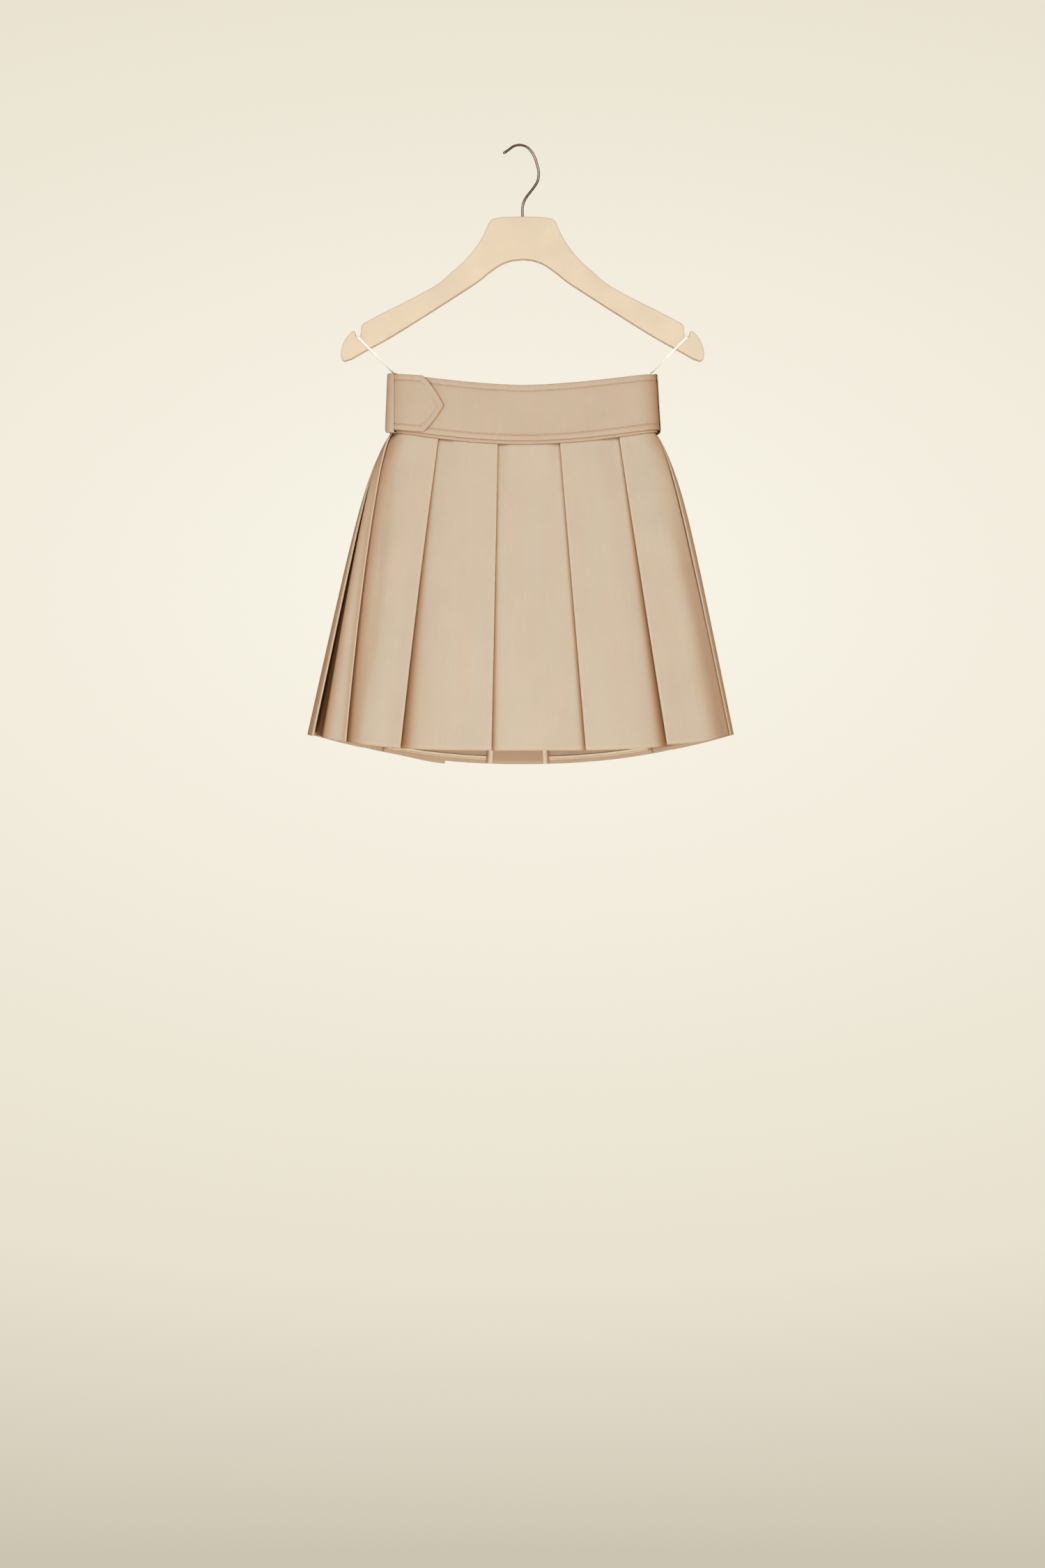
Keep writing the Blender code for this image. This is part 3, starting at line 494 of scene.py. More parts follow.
def panel_run(panel, level):
    """A panel's own cloth, lightened at its folds by wear and a painted highlight, with painted shade where
    an upper layer keeps the light off.
    """
    index, places = panel.index, panel.places()
    from_start, to_end = places - panel.start, panel.end - places
    fold, shade = np.zeros(len(places)), np.zeros(len(places))
    if panel.starts_under:
        shade = np.maximum(shade, shade_near(PLEATS[index - 1], level, from_start))
    else:
        fold = np.maximum(fold, hill(from_start, FOLD_WEAR_AND_HIGHLIGHT))
    if panel.ends_under:
        shade = np.maximum(shade, shade_near(PLEATS[index], level, to_end))
    else:
        fold = np.maximum(fold, hill(to_end, FOLD_WEAR_AND_HIGHLIGHT))
    if index == LEFT_SLIVER:
        shade = np.maximum(shade, SLIVER_SHADE[0] * hill(to_end, SLIVER_SHADE[1]))
    if index == LEFT_SLIVER + 1:
        shade = np.maximum(shade, BESIDE_SLIVER_SHADE[0] * hill(from_start, BESIDE_SLIVER_SHADE[1]))
    return Run(places, panel.out(places), index, fold, shade)


def piece_path(first, last, section, level):
    """The line through panels first to last and the pleats between them."""
    panels = {i: Panel(i, section, level) for i in range(first, last + 1)}
    opening = PLEATS[first - 1] if first > 0 else None
    if opening is None:
        runs = flipped(back_edge(panels[first], level, True))
    elif opening.upper < 0:
        runs = lower_side(opening, level, panels[first].start, first)
    else:
        runs = flipped(upper_side(opening, panels[first], level))
    for i in range(first, last + 1):
        runs.append(panel_run(panels[i], level))
        pleat = PLEATS[i] if i < len(PLEATS) else None
        if pleat is None:
            runs += back_edge(panels[i], level, False)
        elif pleat.upper < 0:
            runs += upper_side(pleat, panels[i], level)
            if i < last:
                runs += lower_side(pleat, level, panels[i].end, i + 1)
        else:
            runs += flipped(lower_side(pleat, level, panels[i].end, i))
            if i < last:
                runs += flipped(upper_side(pleat, panels[i + 1], level))
    place, out, fold, shade = (
        np.concatenate([getattr(r, key) for r in runs]) for key in ("place", "out", "fold", "shade")
    )
    panel = np.concatenate([np.full(len(r.place), r.panel) for r in runs])
    drop = np.zeros(len(place))
    for pleat in PLEATS[max(0, first - 1):last + 1]:
        if pleat.drop:
            edge, reach = pleat_place(pleat, section, level), 0.9 * depth_of(pleat, level)
            inwards = (place - edge) * pleat.upper
            near = (inwards > -2 * TURN) & (inwards < reach) & (out > UNDER / 2 - PITCH * 0.3)
            drop += np.where(near, pleat.drop * MM * (1 - smooth(inwards / reach)), 0.0)
    return place, out, drop, panel, fold, shade


# Mesh making
def make_mesh(name, points, faces, uvs=None, marks=None):
    """A mesh from points and faces, with each point's UV in metres and named values between 0 and 1."""
    mesh = bpy.data.meshes.new(name)
    mesh.from_pydata([tuple(p) for p in points], [], faces)
    mesh.update()
    if uvs is not None:
        layer = mesh.uv_layers.new(name="Cloth")
        corner = np.empty(len(mesh.loops), np.int32)
        mesh.loops.foreach_get("vertex_index", corner)
        layer.uv.foreach_set("vector", np.asarray(uvs, np.float32)[corner].ravel())
    for key, values in (marks or {}).items():
        attribute = mesh.attributes.new(key, "FLOAT", "POINT")
        attribute.data.foreach_set("value", np.asarray(values, np.float32))
    mesh.shade_smooth()
    return mesh


def finish_piece(name, mesh, nodes, material, sharp=None):
    piece = bpy.data.objects.new(name, mesh)
    bpy.context.scene.collection.objects.link(piece)
    mesh.materials.append(material)
    if sharp:
        mesh.set_sharp_from_angle(angle=math.radians(sharp))
    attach(piece, "root")
    if nodes:
        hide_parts(*nodes)
    return piece


def grid_faces(rows, columns, start=0, closed=False):
    faces = []
    across = columns if closed else columns - 1
    for r in range(rows - 1):
        for c in range(across):
            a, b = start + r * columns + c, start + r * columns + (c + 1) % columns
            faces.append((a, b, b + columns, a + columns))
    return faces


def shell(name, rows, uvs, marks, wall, nodes, material):
    """A thin piece of cloth through rows of points, the lowest row first."""
    count, width = len(rows), len(rows[0])
    mesh = make_mesh(name, np.concatenate(rows), grid_faces(count, width), np.concatenate(uvs), marks)
    piece = finish_piece(name, mesh, nodes, material)
    solidify = piece.modifiers.new("Wall", "SOLIDIFY")
    solidify.thickness = wall
    solidify.offset = 0.0
    solidify.use_even_offset = False
    solidify.use_quality_normals = True
    return piece


# Materials
def plug(tree, socket, value):
    """A number, a colour, a vector or another node's output, put into a socket."""
    if isinstance(value, bpy.types.NodeSocket):
        tree.links.new(value, socket)
    elif socket.type == "RGBA":
        socket.default_value = (*value, 1.0)
    else:
        socket.default_value = value


def set_inputs(tree, made, **inputs):
    """Values for a node's inputs, in whose names _ stands for a blank."""
    for key, value in inputs.items():
        plug(tree, made.inputs[key.replace("_", " ")], value)


def add(tree, kind, settings=None, **inputs):
    made = tree.nodes.new("ShaderNode" + kind)
    for key, value in (settings or {}).items():
        setattr(made, key, value)
    set_inputs(tree, made, **inputs)
    return made


def cloth_uv(tree):
    return add(tree, "UVMap", {"uv_map": "Cloth"}).outputs["UV"]


def object_place(tree):
    return add(tree, "TexCoord").outputs["Object"]


def mark(tree, name):
    """A named value of the mesh."""
    return add(tree, "Attribute", {"attribute_name": name}).outputs["Fac"]


def split(tree, vector):
    made = add(tree, "SeparateXYZ", Vector=vector)
    return [made.outputs[axis] for axis in "XYZ"]


def maths(tree, operation, a, b=None, kind="Math", output=0):
    made = add(tree, kind, {"operation": operation})
    plug(tree, made.inputs[0], a)
    if b is not None:
        plug(tree, made.inputs[1], b)
    return made.outputs[output]


def length_of(tree, *parts):
    """The length of a vector from its parts."""
    total = maths(tree, "MULTIPLY", parts[0], parts[0])
    for part in parts[1:]:
        total = maths(tree, "ADD", total, maths(tree, "MULTIPLY", part, part))
    return maths(tree, "SQRT", total)


def noise(tree, where, scale, detail=2.0, roughness=0.5):
    """Noise of one scale, or of three scales where the pattern is drawn out."""
    if isinstance(scale, tuple):
        where, scale = add(tree, "Mapping", Vector=where, Scale=scale).outputs["Vector"], 1.0
    made = add(tree, "TexNoise", Vector=where, Scale=scale, Detail=detail, Roughness=roughness)
    return made.outputs["Fac"]


def ramp(tree, value, low, high, start, end):
    """A value moved from the range low..high to start..end, kept inside it."""
    made = add(tree, "MapRange", Value=value, From_Min=low, From_Max=high, To_Min=start, To_Max=end)
    return made.outputs["Result"]


def blend(tree, share, first, second):
    made = add(tree, "Mix", {"data_type": "RGBA"})
    for key, value in (("Factor", share), ("A", first), ("B", second)):
        plug(tree, next(s for s in made.inputs if s.name == key and s.enabled), value)
    return next(s for s in made.outputs if s.enabled)


def veiled(tree, body, value, low, high, most, colour):
    """The body under a second colour, which grows from none to most as a value goes from low to high."""
    return blend(tree, ramp(tree, value, low, high, 0.0, most), body, colour)


def times(colour, factors):
    """A colour made lighter or darker, by one factor or by one for each channel."""
    factors = factors if isinstance(factors, tuple) else (factors,) * 3
    return tuple(min(1.0, c * f) for c, f in zip(colour, factors))


def bump(tree, height, distance, strength, after=None):
    made = add(tree, "Bump", Height=height, Distance=distance, Strength=strength)
    if after is not None:
        tree.links.new(after, made.inputs["Normal"])
    return made.outputs["Normal"]


def new_material(name, **fixed):
    material = bpy.data.materials.new(name)
    material.use_nodes = True
    shader = material.node_tree.nodes["Principled BSDF"]
    set_inputs(material.node_tree, shader, **fixed)
    return material, material.node_tree, shader


def outer_side(tree):
    """1 on the skirt's outer faces and 0 on the inner ones, by the face's direction from the middle."""
    around = maths(tree, "MULTIPLY", object_place(tree), (1.0, 5.0, 0.0), "VectorMath")
    normal = add(tree, "NewGeometry").outputs["Normal"]
    facing = maths(tree, "DOT_PRODUCT", around, normal, "VectorMath", "Value")
    return maths(tree, "GREATER_THAN", facing, 0.0)


def cloth_material(name, colour, streaks=0.5, stitched=None, pressed=True):
    """Cotton gabardine: a fine steep twill, faint warm and cool streaks down the cloth, soft mottling.

    stitched is the pitch of the stitches where the mesh has a value named row along its seams. That value
    also paints shade, darkening the cloth in the stitched grooves and along some rims.
    """
    material, tree, shader = new_material(
        name, Sheen_Weight=0.06, Sheen_Roughness=0.45, Sheen_Tint=(1.0, 0.80, 0.62), Specular_IOR_Level=0.12,
    )
    where = cloth_uv(tree)
    u, v, _ = split(tree, where)
    fine = noise(tree, where, 620.0, 3.0, 0.65)
    slub = noise(tree, where, (420.0, 34.0, 1.0), 2.0, 0.6)
    streak = noise(tree, where, (74.0, 5.0, 1.0), 1.5, 0.5)
    cloud = noise(tree, where, 17.0, 3.0, 0.55)
    warp = noise(tree, where, 260.0, 2.0, 0.5)

    cool, warm = times(colour, (0.985, 1.012, 1.01)), times(colour, (1.035, 0.975, 0.945))
    spread = 0.14 / streaks
    body = blend(tree, ramp(tree, streak, 0.5 - spread, 0.5 + spread, 0.0, 1.0), cool, warm)
    body = veiled(tree, body, cloud, 0.38, 0.7, 0.42, times(colour, 0.90))
    body = veiled(tree, body, fine, 0.3, 0.7, 0.22, times(colour, 0.80))
    body = veiled(tree, body, slub, 0.58, 0.78, 0.30, times(colour, 1.13))

    diagonal = maths(tree, "ADD", maths(tree, "MULTIPLY", u, 6300.0), maths(tree, "MULTIPLY", v, 3700.0))
    twill = maths(tree, "SINE", maths(tree, "ADD", diagonal, maths(tree, "MULTIPLY", warp, 5.0)))
    body = veiled(tree, body, twill, -1.0, 1.0, 0.10, times(colour, 0.78))
    normal = bump(tree, twill, 0.00004, 0.55)
    normal = bump(tree, fine, 0.00022, 0.6, normal)
    normal = bump(tree, slub, 0.00012, 0.5, normal)
    if pressed:
        # Visible fold edges are lightened: partly wear, partly a painted highlight along the fold.
        worn_and_highlit = maths(tree, "MULTIPLY", mark(tree, "fold"), ramp(tree, cloud, 0.35, 0.65, 0.05, 0.25))
        body = blend(tree, worn_and_highlit, body, times(colour, 1.16))
        shaded = maths(tree, "MULTIPLY", mark(tree, "shade"), outer_side(tree))
        body = blend(tree, shaded, body, times(colour, (0.60, 0.47, 0.38)))
    if stitched:
        # Painted shade: the row value darkens the cloth in stitched grooves and along rims, and bumps the
        # stitches' dimples.
        row = mark(tree, "row")
        beat = maths(tree, "SINE", maths(tree, "MULTIPLY", u, 2 * math.pi / stitched))
        body = blend(tree, maths(tree, "MULTIPLY", row, 0.60), body, times(colour, (0.72, 0.66, 0.60)))
        normal = bump(tree, maths(tree, "MULTIPLY", row, beat), 0.00025, 0.8, normal)
    rough = ramp(tree, fine, 0.3, 0.7, 0.78, 0.93)
    set_inputs(tree, shader, Base_Color=body, Roughness=rough, Normal=normal)
    return material


def thread_material():
    material, tree, shader = new_material("sewing_thread", Roughness=0.62, Sheen_Weight=0.3)
    where = object_place(tree)
    body = veiled(tree, times(THREAD_COLOUR, 0.86), noise(tree, where, 900.0), 0.3, 0.7, 1.0,
                  times(THREAD_COLOUR, 1.06))
    normal = bump(tree, noise(tree, where, 3800.0, 1.0), 0.00008, 0.6)
    set_inputs(tree, shader, Base_Color=body, Normal=normal)
    return material


def ribbon_material():
    """Off-white satin: fine threads across the sheen."""
    material, tree, shader = new_material(
        "satin_ribbon", Roughness=0.6, Sheen_Weight=0.2, Sheen_Roughness=0.4,
    )
    where = cloth_uv(tree)
    threads = noise(tree, where, (2600.0, 120.0, 1.0))
    body = veiled(tree, times(RIBBON_COLOUR, 0.93), threads, 0.3, 0.7, 1.0, RIBBON_COLOUR)
    body = veiled(tree, body, noise(tree, where, 90.0), 0.4, 0.7, 0.35, times(RIBBON_COLOUR, 0.88))
    set_inputs(tree, shader, Base_Color=body, Normal=bump(tree, threads, 0.00002, 0.3))
    return material


def board_material():
    """Pressed fibre board: pale, matte, with fine darker and lighter flecks."""
    material, tree, shader = new_material("pressed_fibre_board", Specular_IOR_Level=0.07)
    where = object_place(tree)
    grain = noise(tree, where, 520.0, 4.0, 0.7)
    fleck = noise(tree, where, (900.0, 900.0, 1500.0), 2.0, 0.6)
    pale = noise(tree, where, (1400.0, 1400.0, 700.0), 2.0, 0.6)
    cloud = noise(tree, where, 26.0, 3.0, 0.5)
    body = veiled(tree, times(BOARD_COLOUR, 0.96), cloud, 0.35, 0.65, 1.0, times(BOARD_COLOUR, 1.03))
    body = veiled(tree, body, grain, 0.35, 0.7, 0.08, (0.58, 0.48, 0.34))
    body = veiled(tree, body, fleck, 0.60, 0.76, 0.13, (0.46, 0.36, 0.25))
    body = veiled(tree, body, pale, 0.62, 0.78, 0.10, (0.78, 0.70, 0.56))
    rough = ramp(tree, grain, 0.3, 0.7, 0.62, 0.80)
    set_inputs(tree, shader, Base_Color=body, Roughness=rough, Normal=bump(tree, grain, 0.00002, 0.1))
    return material


def wire_material():
    """Satin steel wire with fine drawing lines along it."""
    material, tree, shader = new_material("steel_wire", Metallic=1.0)
    where = cloth_uv(tree)
    lines = noise(tree, where, (3200.0, 60.0, 1.0), 3.0)
    body = veiled(tree, (0.34, 0.33, 0.315), lines, 0.3, 0.7, 1.0, (0.45, 0.435, 0.41))
    rough = ramp(tree, noise(tree, where, 130.0, 3.0), 0.3, 0.7, 0.46, 0.60)
    set_inputs(tree, shader, Base_Color=body, Roughness=rough, Normal=bump(tree, lines, 0.00002, 0.3))
    return material


BELT_PITCH = 2.55 * MM
LOOP_PITCH = 2.5 * MM
BAND_PITCH = 2.5 * MM
TAPE_PITCH = 2.4 * MM
CLOTH_COLOUR = (0.532, 0.466, 0.368)
BELT_COLOUR = (0.497, 0.427, 0.334)
# The loops' cloth is the belt's painted lighter, standing in for light that their sideways faces miss.
LOOP_PAINTED_LIGHT_COLOUR = (0.562, 0.506, 0.412)
THREAD_COLOUR = (0.57, 0.48, 0.37)
TAPE_COLOUR = (0.80, 0.72, 0.58)
RIBBON_COLOUR = (0.86, 0.835, 0.77)
BOARD_COLOUR = (0.655, 0.567, 0.424)

skirt_cloth = cloth_material("skirt_gabardine", CLOTH_COLOUR)
belt_cloth = cloth_material("belt_gabardine", BELT_COLOUR, stitched=BELT_PITCH, pressed=False)
loop_cloth_painted_light = cloth_material("loop_gabardine_painted_light", LOOP_PAINTED_LIGHT_COLOUR, stitched=LOOP_PITCH, pressed=False)
tape_cloth = cloth_material("binding_tape", TAPE_COLOUR, streaks=0.3, stitched=TAPE_PITCH, pressed=False)
thread = thread_material()
satin = ribbon_material()
board = board_material()
wire = wire_material()


# Stitches
def stitches(points, outward, pitch, length=1.9 * MM, radius=0.27 * MM, phase=0.0):
    """Capsule stitches along a line, each bowed out of the cloth and sunk at its ends."""
    along = arc_line(points)
    rings, sides = 5, 6
    lift = radius * np.array([-1.1, 0.25, 0.5, 0.25, -1.1])
    size = radius * np.array([0.55, 0.95, 1.0, 0.95, 0.55])
    vertices, faces = [], []
    for k in range(int((along[-1] - length - phase) / pitch) + 1):
        stops = phase + k * pitch + length * np.linspace(0, 1, rings)
        centre, out = (
            np.stack([np.interp(stops, along, line[:, a]) for a in range(3)], axis=1)
            for line in (points, outward)
        )
        out = unit(out)
        centre = centre + out * lift[:, None]
        ahead = centre[-1] - centre[0]
        ahead /= max(1e-9, np.linalg.norm(ahead))
        start = len(vertices)
        for r in range(rings):
            side = np.cross(ahead, out[r])
            for s in range(sides):
                angle = 2 * math.pi * s / sides
                vertices.append(centre[r] + size[r] * (side * math.cos(angle) + out[r] * math.sin(angle)))
        faces += [tuple(reversed(range(start, start + sides)))]
        faces += grid_faces(rings, sides, start, closed=True)
        faces += [tuple(range(start + (rings - 1) * sides, start + rings * sides))]
    return vertices, faces


def stitch_piece(name, rows, pitch):
    """One object with several rows of stitches, each row a line of points and outward directions."""
    vertices, faces = [], []
    for points, outward, phase in rows:
        more, sides = stitches(np.asarray(points), np.asarray(outward), pitch, phase=phase)
        faces += [tuple(len(vertices) + i for i in face) for face in sides]
        vertices += more
    mesh = make_mesh(name, vertices, faces)
    return finish_piece(name, mesh, [], thread)


# The skirt
def level_rows():
    steps = np.linspace(0, 1, LEVEL_ROWS) ** 1.12
    return [TUCKED_LEVEL] + [float(s) for s in steps]


def level_uv(u, level):
    return np.stack([u, np.full(len(u), SKIRT_LENGTH * (1 - level))], axis=1)


def skirt_piece(name, node_name, first, last):
    rows, uvs, folds, shades = [], [], [], []
    for level in reversed(level_rows()):
        section = skirt_section(level)
        place, out, drop, panel, fold, shade = piece_path(first, last, section, max(0.0, level))
        rows.append(skirt_points(section, level, place, out, drop))
        along = arc_line(np.stack([place, out], axis=1))
        u = np.empty(len(place))
        for i in range(first, last + 1):
            mine = np.where(panel == i)[0]
            u[mine] = along[mine] - along[mine].mean() + PANEL_UV_STEP * i
        uvs.append(level_uv(u, level))
        folds.append(fold)
        shades.append(shade)
    marks = {"fold": np.concatenate(folds), "shade": np.concatenate(shades)}
    return shell(name, rows, uvs, marks, CLOTH, [node_name], skirt_cloth)


back_left = skirt_piece("back_left_cloth", "skirt_back_left", 0, FIRST_FRONT_PLEAT)
front = skirt_piece("front_cloth", "skirt_front", FIRST_FRONT_PLEAT + 1, LAST_FRONT_PLEAT)
back_right = skirt_piece("back_right_cloth", "skirt_back_right", LAST_FRONT_PLEAT + 1, len(PLEATS))


def underlay():
    rows, uvs = [], []
    for level in reversed(level_rows()):
        kept = max(0.0, level)
        places = back_shift(kept) + np.linspace(-1, 1, UNDERLAY_COLUMNS) * underlay_half(kept)
        rows.append(skirt_points(skirt_section(level), level, places, UNDER))
        uvs.append(level_uv(places, level))
    marks = {key: np.zeros(UNDERLAY_COLUMNS * len(rows)) for key in ("fold", "shade")}
    return shell("underlay_cloth", rows, uvs, marks, CLOTH, ["back_pleat_underlay"], skirt_cloth)


back_underlay = underlay()


# Closed strips: belt, waistband, loops, tapes and ribbons
def rounding(distance, radius):
    """How much of its thickness a turned edge has at a distance from its rim."""
    return np.sqrt(np.clip(1 - (1 - np.clip(distance / radius, 0.0, 1.0)) ** 2, 0.0, 1.0))


def closed_strip(name, outer, inner, uv, inner_shift, marks, nodes, material):
    """A strip from columns of outer and inner points, which meet in their first and last rows."""
    loop = np.concatenate([outer, inner[:, -2:0:-1]], axis=1)
    flat = np.concatenate([uv, (uv + np.array([0.0, inner_shift]))[:, -2:0:-1]], axis=1)
    columns, around = loop.shape[:2]
    faces = [face[::-1] for face in grid_faces(columns, around, closed=True)]
    faces += [tuple(range(around)), tuple(reversed(range((columns - 1) * around, columns * around)))]
    values = {}
    for key, value in marks.items():
        zero = np.zeros((columns, inner.shape[1] - 2))
        values[key] = np.concatenate([value, zero], axis=1).ravel()
    mesh = make_mesh(name, loop.reshape(-1, 3), faces, flat.reshape(-1, 2), values)
    return finish_piece(name, mesh, nodes, material, sharp=75)


def grid_uv(u, v):
    return np.stack(np.broadcast_arrays(u, v), axis=-1)


def row_marks(row, columns):
    return {"row": np.repeat(row[None], columns, axis=0)}


LOW_BAND, HIGH_BAND = band_section(0.0), band_section(1.0)
BELT_EDGES = (BELT_BOTTOM, BELT_TOP)
BAND_EDGES = (BAND_BOTTOM, BAND_TOP)


def band_points(offset, share, out, edges):
    """Points round the waist, by distance from the front centre, share of the height and distance out.

    An offset past the section's length has gone round once. The full heights come second.
    """
    offset, share, out = np.broadcast_arrays(*(np.asarray(a, float) for a in (offset, share, out)))
    far = np.clip((offset - BELT_START) / (LOW_BAND.length + TAB_RISE_FROM - BELT_START), 0.0, 1.0)
    above = offset - far * (LOW_BAND.length - HIGH_BAND.length)
    ends = []
    for band, along, edge in ((LOW_BAND, offset, edges[0]), (HIGH_BAND, above, edges[1])):
        x, y, across, behind = band.at(band.front + along, out)
        ends.append(np.stack([x, y, edge_height(edge, across, behind)], axis=-1))
    low, high = ends
    return mix(low, high, share[..., None]), (high - low)[..., 2]


def band_height(offset, edges):
    return band_points(offset, 0.5, 0.0, edges)[1]


def outward_at(offset, share, out, edges):
    near, far = (band_points(offset, share, out + more, edges)[0] for more in (0.0, 1 * MM))
    return unit(far - near)


def insets(half_height, wanted, kept):
    """Distances from a strip's edge to its middle, those up to kept as they are where they fit."""
    limit = np.minimum(kept, 0.75 * half_height)
    wanted = np.asarray(wanted)
    inner = limit + (wanted - kept) * (half_height - limit) / (wanted[-1] - kept)
    return np.where(wanted <= kept, wanted * limit / kept, inner)


BELT_ROW = 7.2 * MM
BELT_INSETS_KEPT = 11.0 * MM
BELT_INSETS = MM * np.array((
    0, 0.12, 0.35, 0.7, 1.2, 2.2, 3.6, 5.0, 6.0, 6.6, 7.0, 7.2, 7.4, 7.8, 8.4, 9.4, 11.0,
    14.0, 19.0, 26.0, 33.5,
))


def belt_kept(offset):
    past = np.clip((offset - LOW_BAND.length - TAB_CORNER) / (TAB_TIP - TAB_CORNER), 0.0, 1.0)
    full = (BELT_TOP.side - BELT_BOTTOM.side) / 2
    return np.maximum(TAB_TIP_HALF_HEIGHT / full, (1 - past ** 1.25) ** 0.9)


def belt_raised(offset):
    past = (offset - LOW_BAND.length - TAB_RISE_TO) / (TAB_TIP - TAB_RISE_TO)
    return TAB_RAISE * np.clip(past, 0.0, 1.0)


def belt_middle_out(offset):
    past = offset - LOW_BAND.length
    return mix(BELT_OUT, TAB_OUT, smooth((past - TAB_RISE_FROM) / (TAB_RISE_TO - TAB_RISE_FROM)))


def belt_places(height, offset, out):
    """Belt points at heights from its middle line."""
    points, _ = band_points(offset, 0.5 + height / band_height(offset, BELT_EDGES), out, BELT_EDGES)
    points[..., 2] += belt_raised(offset)
    return points


def distance_to(line, across, up):
    """Distance from each point to an outline, both in the belt's own flat plane."""
    best = np.full(across.shape, 1.0)
    for (p0, v0), (p1, v1) in zip(line[:-1], line[1:]):
        length = max(1e-12, (p1 - p0) ** 2 + (v1 - v0) ** 2)
        share = np.clip(((across - p0) * (p1 - p0) + (up - v0) * (v1 - v0)) / length, 0.0, 1.0)
        best = np.minimum(best, np.hypot(across - p0 - share * (p1 - p0), up - v0 - share * (v1 - v0)))
    return best


def belt():
    end = LOW_BAND.length + TAB_CORNER
    offset = np.concatenate([
        np.linspace(BELT_START, end, 380)[:-1],
        end + (TAB_TIP - TAB_CORNER) * (1 - (1 - np.linspace(0, 1, 44)) ** 1.5),
    ])
    half = belt_kept(offset) * band_height(offset, BELT_EDGES) / 2
    columns = []
    for h in half:
        from_edge = insets(h, BELT_INSETS, BELT_INSETS_KEPT)
        columns.append(np.concatenate([from_edge - h, (h - from_edge)[::-1][1:]]))
    height = np.array(columns)
    across = np.repeat(offset[:, None], height.shape[1], axis=1)
    depth = half[:, None] - np.abs(height)
    tab = offset > end - 20 * MM
    line = list(zip(offset[tab], half[tab]))
    line += [(p, -h) for p, h in reversed(line)]
    depth[tab] = np.minimum(depth[tab], distance_to(line, across[tab], height[tab]))
    body = BELT_WALL / 2 * rounding(depth, 1.1 * MM)
    puff = 0.30 * MM * hill(depth - 3.6 * MM, 2.2 * MM)
    puff += 0.22 * MM * smooth((depth - BELT_ROW) / (9 * MM))
    groove = 0.50 * MM * hill(depth - BELT_ROW, 0.9 * MM)
    wave = 0.147 * MM * np.sin(across * 41.0 + 1.3) * np.cos(height * 60.0) * smooth(depth / (10 * MM))
    wave += 0.105 * MM * np.sin(across * 97.0 + height * 70.0) * smooth(depth / (8 * MM))
    middle = belt_middle_out(across)
    outer = belt_places(height, across, middle + body + (puff - groove) * rounding(depth, 3 * MM) + wave)
    inner = belt_places(height, across, middle - body)
    slant = smooth((across - end) / (4 * MM))
    # row: the stitch row's groove and, on the tab's slants, its rim, both darkened with painted shade.
    row = mix(0.85, 0.25, slant) * hill(depth - BELT_ROW, 0.7 * MM) + slant * hill(depth, 1.1 * MM)
    uv = grid_uv(across, height)
    piece = closed_strip("belt_cloth", outer, inner, uv, 0.2, {"row": row}, ["belt"], belt_cloth)
    return piece, offset, half


belt_piece, belt_offsets, belt_halves = belt()


def belt_stitch_rows():
    """The two rows near the belt's edges, which follow the tab's slants and meet near its point."""
    rows = []
    for side in (1, -1):
        across, up = belt_offsets, side * belt_halves
        run = unit(np.stack([np.gradient(across), np.gradient(up)], axis=1))
        place = across + run[:, 1] * side * BELT_ROW
        height = up - run[:, 0] * side * BELT_ROW
        forward = np.concatenate([[True], np.diff(np.maximum.accumulate(place)) > 0])
        keep = (height * side > 0.3 * MM) & forward
        line = np.stack([place, height], axis=1)[keep]
        along = arc_line(line)
        even = np.linspace(0, 1, 3000) * along[-1]
        place, height = (np.interp(even, along, line[:, k]) for k in (0, 1))
        points = belt_places(height, place, belt_middle_out(place) + BELT_WALL / 2 - 0.42 * MM)
        rows.append((points, outward_at(place, 0.5, 0.0, BELT_EDGES), 0.4 * MM))
    return rows


BAND_ROW = 2.0 * MM
BAND_INSETS_LOW = np.array((0, 0.1, 0.3, 0.6, 1.0, 1.5, 1.8, 2.0, 2.2, 2.6, 3.2, 4.0, 8.0, 20.0, 40.0)) * MM
BAND_INSETS_HIGH = np.array((20.0, 8.0, 3.0, 1.0, 0.5, 0.2, 0.0)) * MM


